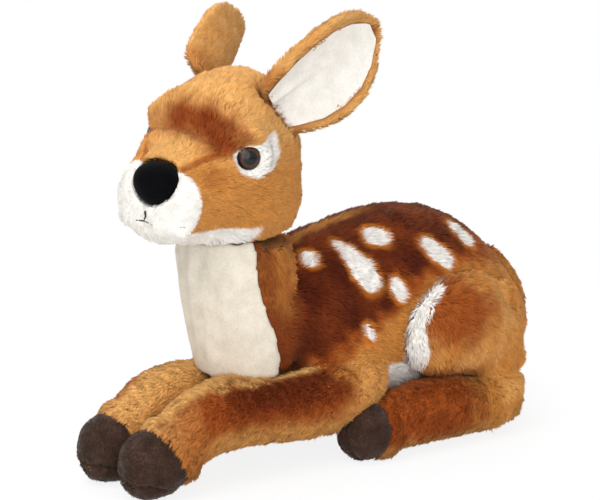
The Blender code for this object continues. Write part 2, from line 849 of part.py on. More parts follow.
def ear_rows(margin, inset, lift):
    # The concave face of a cupped leaf: it faces -Y and the tip points up
    rows = []
    half_width = ear_width / 2.0
    for along, half in ear_outline_shares:
        reach = min(max(along * ear_length, inset), ear_length - inset)
        half_here = max(half * half_width - inset, thread_diameter) + margin
        row = []
        for step in range(ear_columns + 1):
            across = 2.0 * step / ear_columns - 1.0
            bend = ear_cup * (across * half_here / half_width) ** 2
            row.append(Vector((across * half_here, -bend - lift - margin, reach)))
        rows.append(row)
    return rows


def ear_form(name, wall, inset=0.0, lift=0.0, parent=None):
    shape = bmesh.new()
    rows = [[shape.verts.new(point) for point in row]
            for row in ear_rows(0.0, inset, lift)]
    for low, high in zip(rows, rows[1:]):
        for step in range(ear_columns):
            shape.faces.new((low[step], low[step + 1], high[step + 1], high[step]))
    mesh = bpy.data.meshes.new(name)
    shape.to_mesh(mesh)
    shape.free()
    made = link_object(name, mesh, part_collection, parent)
    thick = made.modifiers.new("thickness", "SOLIDIFY")
    thick.thickness = wall
    thick.offset = -1.0
    return made


def ear_slot(name, parent):
    # The room that the ear's root sweeps as it flexes both ways
    shape = bmesh.new()
    slope = 2.0 * ear_cup / (ear_width / 2.0) ** 2
    for flex in (-ear_flex, 0.0, ear_flex):
        sweep = Matrix.Rotation(flex, 3, "X")
        for row in ear_rows(seam_gap, 0.0, 0.0):
            for point in row:
                through = Vector((slope * point.x, 1.0, 0.0)).normalized()
                behind = point + through * (ear_thickness + 3.0 * seam_gap)
                shape.verts.new(sweep @ point)
                shape.verts.new(sweep @ behind)
    hull = bmesh.ops.convex_hull(shape, input=shape.verts)
    spare = [item for item in hull["geom_interior"] if isinstance(item, bmesh.types.BMVert)]
    bmesh.ops.delete(shape, geom=spare, context="VERTS")
    mesh = bpy.data.meshes.new(name)
    shape.to_mesh(mesh)
    shape.free()
    return as_cutter(link_object(name, mesh, cutter_collection, parent))


def ear_turn(hand, lean_out, lean_back, bearing):
    # Columns are the ear's width, its back and its length in the head's frame
    length = Vector((hand * math.sin(lean_out), math.cos(lean_out) * math.sin(lean_back),
                     math.cos(lean_out) * math.cos(lean_back)))
    facing = Vector((hand * math.sin(bearing), -math.cos(bearing), 0.0))
    facing = (facing - length * facing.dot(length)).normalized()
    width = length.cross(facing)
    return Matrix((width, -facing, length)).transposed()


def build_ear(hand, side_name, base_side, angles, head_cover, stuffing):
    base = Vector((hand * base_side, ear_base_reach, ear_base_rise))
    turn = ear_turn(hand, *angles)
    pivot = new_empty("ear_pivot_" + side_name, head_frame, base)
    pivot.rotation_euler = turn.to_euler()
    back = ear_form("ear_back_" + side_name, ear_thickness, parent=pivot)
    add_part(back, "tan_plush", pivot)
    lining = ear_form("ear_lining_" + side_name, lining_wall, inset=ear_rim,
                      lift=lining_wall + seam_gap * 2.0, parent=pivot)
    add_part(lining, "ear_velour", pivot)
    slot = ear_slot("ear_slot_" + side_name, pivot)
    cut(head_cover, slot)
    cut(stuffing, slot)


def build_head():
    rings = head_rings()
    hollow = as_cutter(plain_form("head_hollow", inset_rings(rings, cover_wall), head_sides,
                                  cutter_collection, head_frame))
    below = box_cutter("below_head_seam", (-overrun, -overrun, -overrun),
                       (overrun, overrun, head_seam_z + seam_gap / 2.0), deer)
    seam_point = Vector((0.0, -muzzle_seam_reach, nose_rise))
    toward = Vector((0.0, -math.cos(muzzle_seam_tilt), -math.sin(muzzle_seam_tilt)))
    muzzle_side = half_space("muzzle_side", seam_point - toward * seam_gap / 2.0, toward,
                             head_frame)
    face_side = half_space("face_side", seam_point + toward * seam_gap / 2.0, -toward,
                           head_frame)
    head_cover = smooth_form("head_cover", rings, head_sides, part_collection, head_frame)
    muzzle_cover = smooth_form("muzzle_cover", rings, head_sides, part_collection, head_frame)
    stuffing = plain_form("head_stuffing", inset_rings(rings, cover_wall + seam_gap),
                          head_sides, part_collection, head_frame)
    for cutter in (hollow, below, muzzle_side):
        cut(head_cover, cutter)
    for cutter in (hollow, below, face_side):
        cut(muzzle_cover, cutter)
    cut(stuffing, below)
    build_nose((head_cover, muzzle_cover), stuffing)
    ear_settings = (
        (ear_base_side_left, (ear_lean_out_left, ear_lean_back_left, ear_facing_left)),
        (ear_base_side_right, (ear_lean_out_right, ear_lean_back_right, ear_facing_right)))
    for (hand, side_name), (base_side, angles) in zip(sides, ear_settings):
        build_eye(hand, side_name, head_cover, stuffing)
        build_ear(hand, side_name, base_side, angles, head_cover, stuffing)
    add_part(head_cover, "tan_plush", head_frame)
    add_part(muzzle_cover, "cream_plush", head_frame)
    add_part(stuffing, "fibre_stuffing", head_frame)
    build_stitch("philtrum_stitch", philtrum_shares, muzzle_cover)
    build_stitch("mouth_stitch", mouth_shares, muzzle_cover)


def build_stitch(name, shares, muzzle_cover):
    # Thread that lies on the muzzle, found by looking back at it from in front
    bpy.context.view_layer.update()
    surface = muzzle_cover.evaluated_get(bpy.context.evaluated_depsgraph_get())
    rows = [shares[0]]
    for before, after in zip(shares, shares[1:]):
        for step in range(1, stitch_steps + 1):
            part_way = step / stitch_steps
            rows.append([start + (end - start) * part_way for start, end in zip(before, after)])
    curve = bpy.data.curves.new(name, "CURVE")
    curve.dimensions = "3D"
    curve.bevel_depth = thread_diameter / 2.0
    curve.bevel_resolution = 1
    curve.use_fill_caps = True
    line = curve.splines.new("POLY")
    line.points.add(len(rows) - 1)
    for point, (side, drop) in zip(line.points, rows):
        start = Vector((side * nose_width, -head_length, nose_rise - drop * nose_width))
        found, place, normal, index = surface.ray_cast(start, Vector((0.0, 1.0, 0.0)))
        point.co = (*(place + normal * (thread_diameter / 2.0 + thread_lift)), 1.0)
    made = bpy.data.objects.new(name, curve)
    part_collection.objects.link(made)
    made.parent = head_frame
    add_part(made, "black_thread", head_frame)


parts = []


def add_part(made, finish, parent=None):
    parts.append((made, finish, parent))


def settle_parts():
    # Each piece keeps only its finished mesh, in the frame of what it moves with
    bpy.context.view_layer.update()
    graph = bpy.context.evaluated_depsgraph_get()
    finished = [(made, bpy.data.meshes.new_from_object(made.evaluated_get(graph)))
                for made, finish, parent in parts]
    for (made, mesh), (original, finish, parent) in zip(finished, parts):
        name = made.name
        world = made.matrix_world.copy()
        frame = (parent or deer).matrix_world.copy()
        mesh.transform(frame.inverted() @ world)
        weld(mesh)
        bpy.data.objects.remove(made)
        mesh.name = name
        mesh.materials.clear()
        mesh.materials.append(finish_material(finish))
        mesh.shade_smooth()
        mesh.set_sharp_from_angle(angle=crease_angle)
        link_object(name, mesh, part_collection, parent or deer)


def weld(mesh):
    shape = bmesh.new()
    shape.from_mesh(mesh)
    bmesh.ops.triangulate(shape, faces=shape.faces)
    bmesh.ops.remove_doubles(shape, verts=shape.verts, dist=seam_gap * weld_share)
    bmesh.ops.dissolve_degenerate(shape, edges=shape.edges, dist=seam_gap * weld_share)
    shape.to_mesh(mesh)
    shape.free()


def rest_on_origin():
    # The middle of the toy's footprint comes to the origin
    bpy.context.view_layer.update()
    points = [made.matrix_world @ point.co for made in part_collection.objects
              if made.type == "MESH" for point in made.data.vertices]
    for axis in (0, 1):
        reach = [point[axis] for point in points]
        deer.location[axis] -= (min(reach) + max(reach)) / 2.0
    bpy.context.view_layer.update()


sides = ((1.0, "left"), (-1.0, "right"))

torso_block = as_cutter(smooth_form("torso_block", inset_rings(torso_rings(), -seam_gap),
                                    form_sides, cutter_collection, deer))
neck_block = as_cutter(smooth_form("neck_block", inset_rings(neck_rings(), -seam_gap),
                                   form_sides, cutter_collection, neck_frame))
torso_leg_room, neck_leg_room = make_leg_rooms()
build_torso(torso_leg_room)
build_neck(neck_leg_room, torso_block)
for hand, side_name in sides:
    build_haunch(hand, side_name, torso_block)
    foot_block = as_cutter(smooth_form("hind_foot_block_" + side_name,
                                       inset_rings(hind_foot_rings(hand), -seam_gap),
                                       limb_sides, cutter_collection, deer))
    build_front_leg(hand, side_name, torso_block, neck_block, foot_block)
    build_hind_foot(hand, side_name, torso_block)
build_tail(torso_block)
build_head()
settle_parts()
rest_on_origin()
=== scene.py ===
import math

import bpy
import numpy as np
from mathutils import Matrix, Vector
from mathutils.bvhtree import BVHTree


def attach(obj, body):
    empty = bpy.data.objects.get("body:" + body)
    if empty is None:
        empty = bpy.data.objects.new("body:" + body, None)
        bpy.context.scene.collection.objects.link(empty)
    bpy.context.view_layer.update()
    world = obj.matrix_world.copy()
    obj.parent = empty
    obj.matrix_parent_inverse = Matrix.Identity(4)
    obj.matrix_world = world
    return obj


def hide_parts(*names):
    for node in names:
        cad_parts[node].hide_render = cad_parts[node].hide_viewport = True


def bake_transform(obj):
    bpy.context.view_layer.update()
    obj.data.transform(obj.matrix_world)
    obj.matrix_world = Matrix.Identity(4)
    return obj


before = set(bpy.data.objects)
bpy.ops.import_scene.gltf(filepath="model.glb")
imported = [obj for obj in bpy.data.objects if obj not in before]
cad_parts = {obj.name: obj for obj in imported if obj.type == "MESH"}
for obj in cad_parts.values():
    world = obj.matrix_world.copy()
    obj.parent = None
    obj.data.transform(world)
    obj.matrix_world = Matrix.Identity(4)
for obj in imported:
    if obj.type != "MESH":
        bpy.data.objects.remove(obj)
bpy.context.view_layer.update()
print("stage: frame loaded")

mm = 0.001
sides = {"left": 1, "right": -1}

# the upright middle line of the neck, and the stretch over which it would turn with the head; the
# forms list it, and nothing bends them
neckY = -0.0716
neckTurn = ("body", "head", (0, neckY, 0.100), (0, neckY, 0.146))

# the head stands on the neck's line, turned to the camera and tipped about its middle; each
# ear leans out and back from its root, which is given in the head's own frame in mm
headStand = {"turn": 18.0, "tilt": 8.0, "seam": 0.144, "middle": 0.053}
ears = {"left": {"root": (24.0, -7.0, 78.0), "out": 22.0, "back": 48.0, "facing": 77.0,
                 "curl": 0.0},
        "right": {"root": (-24.0, -7.0, 78.0), "out": -21.0, "back": 68.0, "facing": -60.0,
                  "curl": 9.0}}
# an ear's length, width and hollow in mm, and how its half width runs along its length
earLength, earWidth, earCup = 85.0, 59.0, 12.0
earReachShares = [0, .12, .30, .48, .65, .80, .91, 1]
earHalfShares = [.58, .74, .93, 1, .94, .75, .47, .12]


# small helpers

def hexToLinear(code):
    parts = [int(code[i:i + 2], 16) / 255 for i in (1, 3, 5)]
    return [p / 12.92 if p <= 0.04045 else ((p + 0.055) / 1.055) ** 2.4 for p in parts]


def addNode(tree, kind, inputs=None, stops=(), **settings):
    # a node with its settings, its links and, on a colour ramp, its stops
    node = tree.nodes.new(kind)
    for key, value in settings.items():
        setattr(node, key, value)
    for index, (spot, code) in enumerate(stops):
        points = node.color_ramp.elements
        point = points[index] if index < 2 else points.new(spot)
        point.position = spot
        point.color = (*hexToLinear(code), 1)
    for key, value in (inputs or {}).items():
        if isinstance(value, bpy.types.NodeSocket):
            tree.links.new(value, node.inputs[key])
        else:
            node.inputs[key].default_value = value
    return node


def makeActive(*items):
    for item in bpy.context.selected_objects:
        item.select_set(False)
    for item in items:
        item.select_set(True)
    bpy.context.view_layer.objects.active = items[0]


def applyModifier(item, kind, **settings):
    made = item.modifiers.new(kind.lower(), kind)
    for key, value in settings.items():
        setattr(made, key, value)
    makeActive(item)
    bpy.ops.object.modifier_apply(modifier=made.name)


def readVectors(items, name):
    values = np.zeros(len(items) * 3)
    items.foreach_get(name, values)
    return values.reshape(-1, 3)


def writePlaces(item, places):
    item.data.vertices.foreach_set("co", np.asarray(places, np.float32).ravel())
    item.data.update()


def unit(vectors):
    return vectors / np.maximum(np.linalg.norm(vectors, axis=1, keepdims=True), 1e-9)


def dot(first, second):
    return (first * second).sum(1, keepdims=True)


def ease(value, low, high):
    part = np.clip((value - low) / (high - low), 0, 1)
    return part * part * (3 - 2 * part)


def hill(distance, width):
    # 1 at no distance, falling off smoothly over this width
    return np.exp(-(distance / width) ** 2)


def blendTo(first, second, share):
    return first + (second - first) * np.reshape(share, (-1, 1))


def mottle(points, size, seed):
    # a soft random field from -1 to 1 whose patches are about this size
    rng = np.random.default_rng(100 + seed)
    total = np.zeros(len(points))
    for _ in range(7):
        wave = rng.normal(size=3)
        wave *= 2 * math.pi / size * rng.uniform(0.6, 1.5) / np.linalg.norm(wave)
        total += np.sin(points @ wave + rng.uniform(0, 6.28))
    return np.clip(total / 3.2, -1, 1)


def headFrame():
    # the head's origin, and the directions of its width, its back and its height
    turn, tilt = np.radians([headStand["turn"], headStand["tilt"]])
    across = np.array([math.cos(turn), math.sin(turn), 0.0])
    up = np.array([0.0, 0.0, 1.0])
    axes = np.array([across * math.cos(tilt) - up * math.sin(tilt), np.cross(up, across),
                     across * math.sin(tilt) + up * math.cos(tilt)])
    return np.array([0, neckY, headStand["seam"]]) + headStand["middle"] * (up - axes[2]), axes


def earFrame(side):
    # the ear's root, and the directions of its width, its closed side and its length
    place, ways = headFrame()
    out, back, facing = np.radians([ears[side][key] for key in ("out", "back", "facing")])
    length = np.array([math.sin(out), math.cos(out) * math.sin(back),
                       math.cos(out) * math.cos(back)])
    front = np.array([math.sin(facing), -math.cos(facing), 0.0])
    front = front - length * (front @ length)
    front = front / np.linalg.norm(front)
    axes = np.array([np.cross(length, front), -front, length])
    return place + np.array(ears[side]["root"]) * mm @ ways, axes @ ways


# places are kept to a micrometre, and directions to six digits
headOrigin, headAxes = (part.round(6) for part in headFrame())
earRoots = {side: earFrame(side)[0].round(6) for side in sides}
earAxes = {side: earFrame(side)[1].round(6) for side in sides}


def inHead(points):
    return (points - headOrigin) @ headAxes.T


def inEar(points, side):
    return (points - earRoots[side]) @ earAxes[side].T


def earHalf(reach):
    # half the ear's width, in mm, so far up from its root
    return earWidth / 2 * np.interp(reach / earLength, earReachShares, earHalfShares)


def curlEar(across, reach, side):
    # how far the ear's edges fold forward at its root: the right ear is pinched more there
    return -ears[side]["curl"] * (across / earHalf(reach)) ** 2 * ease(reach, 42, 4)


def mirrored(spot):
    return np.abs(spot) * [1, 0, 0] + spot * [0, 1, 1]


def insidePolygon(u, v, corners):
    # how far inside a polygon with its corners in turn, in the same unit
    inside = np.full(len(u), 1e9)
    for (u0, v0), (u1, v1) in zip(corners, corners[1:] + corners[:1]):
        length = math.hypot(u1 - u0, v1 - v0)
        inside = np.minimum(inside, ((u - u0) * (v1 - v0) - (v - v0) * (u1 - u0)) / length)
    return inside


def lineDistance(points, line):
    # distance of each point from a bent line given by its corners
    best = np.full(len(points), 1e9)
    for start, end in zip(line, line[1:]):
        start, end = np.array(start), np.array(end)
        along = end - start
        share = np.clip((points - start) @ along / (along @ along), 0, 1)
        gap = np.linalg.norm(points - start - share[:, None] * along, axis=1)
        best = np.minimum(best, gap)
    return best


# camera, light and floor

camera = {"azimuth": 50.0, "elevation": 12.0, "distance": 1.2,
          "aim": (0.015, -0.0356, 0.130), "lens": 118.8}
lamps = {
    "keySoftbox": {"azimuth": 25, "elevation": 52, "distance": 1.5, "size": 1.3, "power": 15.6},
    "fillSoftbox": {"azimuth": 60, "elevation": 14, "distance": 1.6, "size": 1.4, "power": 10.4},
    "rimSoftbox": {"azimuth": -120, "elevation": 50, "distance": 1.6, "size": 1.2, "power": 10.0}}
light = {"aimHeight": 0.12, "worldLevel": 0.53}
floorPaper = {"size": 80.0, "drop": 0.0002, "colour": "#f8f8f8", "glow": 0.86, "whiteFrom": 0.3,
              "whiteAt": 1.2}


def direction(azimuth, elevation):
    turn, rise = math.radians(azimuth), math.radians(elevation)
    return Vector((math.sin(turn) * math.cos(rise), -math.cos(turn) * math.cos(rise),
                   math.sin(rise)))


def placeCamera():
    away = direction(camera["azimuth"], camera["elevation"])
    bpy.ops.object.camera_add()
    made = bpy.context.object
    made.name = "camera"
    made.location = Vector(camera["aim"]) + away * camera["distance"]
    made.rotation_euler = (-away).to_track_quat("-Z", "Y").to_euler()
    made.data.lens = camera["lens"]
    made.data.sensor_width = 36.0
    bpy.context.scene.camera = made


def addLamp(name, azimuth, elevation, distance, size, power):
    away = direction(azimuth, elevation)
    bpy.ops.object.light_add(type="AREA")
    lamp = bpy.context.object
    lamp.name = name
    lamp.location = Vector((0.0, 0.0, light["aimHeight"])) + away * distance
    lamp.rotation_euler = (-away).to_track_quat("-Z", "Y").to_euler()
    lamp.data.shape = "DISK"
    lamp.data.size = size
    lamp.data.energy = power


def lightScene():
    # three softboxes and a plain sky, which the camera and reflections see as white
    for name, lamp in lamps.items():
        addLamp(name, **lamp)
    world = bpy.data.worlds.new("studio")
    bpy.context.scene.world = world
    world.use_nodes = True
    tree = world.node_tree
    tree.nodes.clear()
    path = addNode(tree, "ShaderNodeLightPath")
    seen = addNode(tree, "ShaderNodeMath", {0: path.outputs["Is Camera Ray"],
                                            1: path.outputs["Is Glossy Ray"]},
                   operation="MAXIMUM")
    seen = addNode(tree, "ShaderNodeMath", {0: seen.outputs[0],
                                            1: path.outputs["Is Transmission Ray"]},
                   operation="MAXIMUM")
    level = addNode(tree, "ShaderNodeMapRange", {"Value": seen.outputs[0],
                                                 "To Min": light["worldLevel"], "To Max": 1.0})
    air = addNode(tree, "ShaderNodeBackground", {"Color": (1, 1, 1, 1),
                                                 "Strength": level.outputs[0]})
    addNode(tree, "ShaderNodeOutputWorld", {"Surface": air.outputs[0]})
    bpy.context.scene.view_settings.view_transform = "Standard"


def layFloor():
    # matt paper sweep: the camera sees it near white, and the toy's shadow stays on it
    bpy.ops.mesh.primitive_plane_add(size=floorPaper["size"],
                                     location=(0, 0, -floorPaper["drop"]))
    floor = bpy.context.object
    floor.name = "paperFloor"
    made = bpy.data.materials.new("mattPaper")
    made.use_nodes = True
    tree = made.node_tree
    tree.nodes.clear()
    path = addNode(tree, "ShaderNodeLightPath")
    paper = addNode(tree, "ShaderNodeBsdfDiffuse",
                    {"Color": (*hexToLinear(floorPaper["colour"]), 1.0)})
    glow = addNode(tree, "ShaderNodeEmission", {"Strength": 1.0})
    # further out it is as white as the sky, so that no horizon shows
    place = addNode(tree, "ShaderNodeTexCoord")
    far = addNode(tree, "ShaderNodeVectorMath", {0: place.outputs["Object"]},
                  operation="LENGTH")
    level = addNode(tree, "ShaderNodeMapRange",
                    {"Value": far.outputs["Value"], "From Min": floorPaper["whiteFrom"],
                     "From Max": floorPaper["whiteAt"], "To Min": floorPaper["glow"],
                     "To Max": 1.0})
    share = addNode(tree, "ShaderNodeMath", {0: path.outputs["Is Camera Ray"],
                                             1: level.outputs[0]}, operation="MULTIPLY")
    both = addNode(tree, "ShaderNodeMixShader", {0: share.outputs[0], 1: paper.outputs[0],
                                                 2: glow.outputs[0]})
    addNode(tree, "ShaderNodeOutputMaterial", {"Surface": both.outputs[0]})
    floor.data.materials.append(made)


placeCamera()
lightScene()
layFloor()
print("stage: camera, light and floor")


# materials, and the scale of each pattern for a metre: dye takes unevenly over 6 mm, nap lies
# in patches of 9 mm, and the thread's twist and the washers' speckle are about 1 mm

grain = {"dye": 160.0, "nap": 110.0, "twist": 500.0, "speckle": 900.0}


def newMaterial(name, **values):
    made = bpy.data.materials.new(name)
    made.use_nodes = True
    shader = made.node_tree.nodes["Principled BSDF"]
    for key, value in values.items():
        shader.inputs[key.replace("_", " ")].default_value = value
    return made, made.node_tree, shader


def makePileMaterial():
    # printed polyester plush: a matt, softly shining pile, with painted shade that darkens it
    # towards the roots
    made, tree, shader = newMaterial("printedPlushPile", Roughness=0.8, Sheen_Weight=0.15,
                                     Sheen_Tint=(*hexToLinear("#e6c4a0"), 1),
                                     Specular_IOR_Level=0.12, Sheen_Roughness=0.5)
    coat = addNode(tree, "ShaderNodeAttribute", attribute_name="coat")
    along = addNode(tree, "ShaderNodeAttribute", attribute_name="along")
    strand = addNode(tree, "ShaderNodeAttribute", attribute_name="strand")
    place = addNode(tree, "ShaderNodeTexCoord")
    dyed = addNode(tree, "ShaderNodeTexNoise", {"Vector": place.outputs["Object"],
                                                "Scale": grain["dye"], "Detail": 3.0})
    # painted shade deep in the pile: dark at the roots, lighter towards the tips
    tip = addNode(tree, "ShaderNodeMapRange", {"Value": along.outputs["Fac"],
                                               "To Min": 0.80, "To Max": 1.16})
    tone = addNode(tree, "ShaderNodeMapRange", {"Value": strand.outputs["Fac"],
                                                "To Min": 0.87, "To Max": 1.12})
    patch = addNode(tree, "ShaderNodeMapRange", {"Value": dyed.outputs["Fac"],
                                                 "From Min": 0.3, "From Max": 0.7,
                                                 "To Min": 0.92, "To Max": 1.08})
    level = addNode(tree, "ShaderNodeMath", {0: tip.outputs[0], 1: tone.outputs[0]},
                    operation="MULTIPLY")
    level = addNode(tree, "ShaderNodeMath", {0: level.outputs[0], 1: patch.outputs[0]},
                    operation="MULTIPLY")
    colour = addNode(tree, "ShaderNodeVectorMath", {0: coat.outputs["Color"],
                                                    "Scale": level.outputs[0]},
                     operation="SCALE")
    tree.links.new(colour.outputs[0], shader.inputs["Base Color"])
    return made


def makeVelourMaterial(name, dark, pale, sheen, nap, depth):
    # short velour pile: matt face, pale at grazing angles where the fibres catch light;
    # nap is the size of its finest clumps and depth their height, both in mm
    made, tree, shader = newMaterial(name, Roughness=0.9, Specular_IOR_Level=0.05,
                                     Sheen_Weight=sheen, Sheen_Roughness=0.4)
    place = addNode(tree, "ShaderNodeTexCoord")
    fine = addNode(tree, "ShaderNodeTexNoise", {"Vector": place.outputs["Object"],
                                                "Scale": 1000.0 / nap, "Detail": 3.0,
                                                "Roughness": 0.65})
    wide = addNode(tree, "ShaderNodeTexNoise", {"Vector": place.outputs["Object"],
                                                "Scale": grain["nap"], "Detail": 2.0})
    mixed = addNode(tree, "ShaderNodeMath", {0: fine.outputs["Fac"], 1: wide.outputs["Fac"]},
                    operation="ADD")
    mixed = addNode(tree, "ShaderNodeMath", {0: mixed.outputs[0], 1: 0.5},
                    operation="MULTIPLY")
    colour = addNode(tree, "ShaderNodeValToRGB", {"Fac": mixed.outputs[0]},
                     stops=((0.38, dark), (0.62, pale)))
    tree.links.new(colour.outputs["Color"], shader.inputs["Base Color"])
    bump = addNode(tree, "ShaderNodeBump", {"Height": fine.outputs["Fac"],
                                            "Distance": depth * mm, "Strength": 0.8})
    tree.links.new(bump.outputs[0], shader.inputs["Normal"])
    return made


def makeEyeMaterial():
    # moulded acrylic safety eye: a brown iris and a black pupil under a polished dome
    made, tree, shader = newMaterial("polishedEyeAcrylic", Roughness=0.12,
                                     Specular_IOR_Level=0.35)
    ring = addNode(tree, "ShaderNodeAttribute", attribute_name="ring")
    colour = addNode(tree, "ShaderNodeValToRGB", {"Fac": ring.outputs["Fac"]},
                     stops=((0.52, "#040303"), (0.62, "#44230f"), (0.80, "#2a140a"),
                            (0.90, "#070504")))
    tree.links.new(colour.outputs["Color"], shader.inputs["Base Color"])
    return made


def makeThreadMaterial():
    # polished cotton embroidery thread, black, with its twist showing
    made, tree, shader = newMaterial("blackEmbroideryThread", Roughness=0.7)
    place = addNode(tree, "ShaderNodeTexCoord")
    twist = addNode(tree, "ShaderNodeTexWave", {"Vector": place.outputs["Object"],
                                                "Scale": grain["twist"]},
                    bands_direction="DIAGONAL")
    colour = addNode(tree, "ShaderNodeValToRGB", {"Fac": twist.outputs["Fac"]},
                     stops=((0.0, "#090808"), (1.0, "#242021")))
    tree.links.new(colour.outputs["Color"], shader.inputs["Base Color"])
    bump = addNode(tree, "ShaderNodeBump", {"Height": twist.outputs["Fac"],
                                            "Distance": 0.1 * mm})
    tree.links.new(bump.outputs[0], shader.inputs["Normal"])
    return made


def makeWasherMaterial():
    # moulded polypropylene washer behind the nose and eyes: milky, faintly speckled
    made, tree, shader = newMaterial("mouldedWasherPolypropylene", Roughness=0.45)
    place = addNode(tree, "ShaderNodeTexCoord")
    speckle = addNode(tree, "ShaderNodeTexNoise", {"Vector": place.outputs["Object"],
                                                   "Scale": grain["speckle"]})
    colour = addNode(tree, "ShaderNodeValToRGB", {"Fac": speckle.outputs["Fac"]},
                     stops=((0.0, "#d9d7cf"), (1.0, "#e8e6df")))
    tree.links.new(colour.outputs["Color"], shader.inputs["Base Color"])
    return made


pileMaterial = makePileMaterial()
hoofMaterial = makeVelourMaterial("taupeHoofVelour", "#2e201a", "#4b372e", 0.25, 1.3, 0.6)
bibMaterial = makeVelourMaterial("creamShortPile", "#cbc2b1", "#dcd4c5", 0.15, 1.2, 0.4)
liningMaterial = makeVelourMaterial("whiteEarVelour", "#d8d3ca", "#e6e2db", 0.1, 1.6, 0.2)
noseMaterial = makeVelourMaterial("blackNoseFlock", "#020203", "#060709", 0.02, 0.8, 0.4)
eyeMaterial = makeEyeMaterial()
threadMaterial = makeThreadMaterial()
washerMaterial = makeWasherMaterial()
print("stage: materials")


# sewn and stuffed forms: inset is how far the cloth lies under the solid, so that the pile's tips
# reach it, and merged forms run into this one without a crease. A form rides on one body; one
# that only lists a bend between two stays fixed in place. Voxel, inset and fillet are in mm

filling = {"within": 0.3, "strength": 0.6, "rounds": 90}
forms = {
    "torso": {"nodes": ["torso_cover", "belly_panel", "torso_stuffing"], "rides": "body",
              "voxel": 2.6, "inset": 2.2, "slot": "spotted_plush", "fillet": 17.0,
              "merged": [(["neck_cover", "neck_stuffing"], (0, 0, 0.104), (0, 0, 1)),
                         (["shoulder_cover_left", "shoulder_stuffing_left"], None, None),
                         (["shoulder_cover_right", "shoulder_stuffing_right"], None, None)]},
    "neck": {"nodes": ["neck_cover", "neck_stuffing"], "bends": neckTurn, "voxel": 2.4,
             "inset": 2.0, "slot": "tan_plush"},
    "bib": {"nodes": ["bib_panel"], "bends": neckTurn, "voxel": 1.4, "inset": -0.4,
            "slot": "cream_plush"},
    "head": {"nodes": ["head_cover", "muzzle_cover", "head_stuffing", "eye_patch_left",
                       "eye_patch_right"],
             "rides": "head", "voxel": 2.0, "inset": 1.8, "slot": "tan_plush"},
    "tail": {"nodes": ["tail"], "rides": "tail", "voxel": 1.8, "inset": 2.2,
             "slot": "spotted_plush"},
}
for side, hand in sides.items():
    legX = 0.0311 * hand
    forms["haunch_" + side] = {
        "nodes": ["haunch_cover_" + side, "haunch_stuffing_" + side], "rides": "body",
        "voxel": 2.4, "inset": 2.0, "slot": "tan_plush", "fillet": 24.0,
        "merged": [(["hind_foot_cover_" + side, "hind_foot_stuffing_" + side],
                    (0, 0.080, 0), (0, -1, 0))]}
    forms["foreleg_" + side] = {
        "nodes": ["shoulder_cover_" + side, "shoulder_stuffing_" + side,
                  "front_leg_cover_" + side, "front_leg_stuffing_" + side],
        "merged": [(["front_hoof_" + side], None, None)],
        "bends": ("body", "front_leg_" + side, (legX, -0.048, 0.04), (legX, -0.086, 0.04)),
        "voxel": 2.2, "inset": 2.0, "slot": "tan_plush"}
    forms["hind_foot_" + side] = {
        "nodes": ["hind_foot_cover_" + side, "hind_foot_stuffing_" + side],
        "merged": [(["hind_hoof_" + side], None, None)],
        "rides": "hind_foot_" + side, "voxel": 2.2, "inset": 2.0, "slot": "tan_plush"}
    forms["front_hoof_" + side] = {
        "nodes": ["front_hoof_" + side], "rides": "front_leg_" + side,
        "voxel": 1.4, "inset": 0.2, "slot": "hoof_velour"}
    forms["hind_hoof_" + side] = {
        "nodes": ["hind_hoof_" + side], "rides": "hind_foot_" + side,
        "voxel": 1.4, "inset": 0.2, "slot": "hoof_velour"}
    forms["ear_" + side] = {
        "nodes": ["ear_back_" + side], "rides": "ear_" + side, "voxel": 1.4, "inset": 0.8,
        "slot": "tan_plush"}


def copyNodes(nodes, point=None, normal=None):
    # one object from copies of the solids, cut off past a plane where one is given
    copies = []
    for node in nodes:
        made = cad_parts[node].copy()
        made.data = made.data.copy()
        made.parent = None
        for key in list(made.keys()):
            del made[key]
        bpy.context.scene.collection.objects.link(made)
        copies.append(made)
    makeActive(*copies)
    if len(copies) > 1:
        bpy.ops.object.join()
    cloth = bpy.context.view_layer.objects.active
    bpy.ops.object.mode_set(mode="EDIT")
    bpy.ops.mesh.select_all(action="SELECT")
    bpy.ops.mesh.remove_doubles(threshold=0.00002)
    if point:
        bpy.ops.mesh.bisect(plane_co=point, plane_no=normal, use_fill=True, clear_outer=True)
    bpy.ops.object.mode_set(mode="OBJECT")
    return cloth


def surfaceOf(cloth):
    places = [Vector(place) for place in readVectors(cloth.data.vertices, "co")]
    return BVHTree.FromPolygons(places, [tuple(face.vertices) for face in cloth.data.polygons])


def readEdges(mesh):
    edges = np.zeros(len(mesh.edges) * 2, np.int32)
    mesh.edges.foreach_get("vertices", edges)
    return edges.reshape(-1, 2)


def dropInnerShells(cloth):
    # the remesh keeps a shell for each hollow between solids: only the outer one stays
    edges = readEdges(cloth.data)
    label = np.arange(len(cloth.data.vertices))
    while True:
        least = np.minimum(label[edges[:, 0]], label[edges[:, 1]])
        new = label.copy()
        np.minimum.at(new, edges[:, 0], least)
        np.minimum.at(new, edges[:, 1], least)
        new = new[new]
        if (new == label).all():
            break
        label = new
    names, counts = np.unique(label, return_counts=True)
    if len(names) == 1:
        return
    makeActive(cloth)
    bpy.ops.object.mode_set(mode="EDIT")
    bpy.ops.mesh.select_all(action="DESELECT")
    bpy.ops.object.mode_set(mode="OBJECT")
    cloth.data.vertices.foreach_set("select", label != names[counts.argmax()])
    bpy.ops.object.mode_set(mode="EDIT")
    bpy.ops.mesh.delete(type="VERT")
    bpy.ops.object.mode_set(mode="OBJECT")


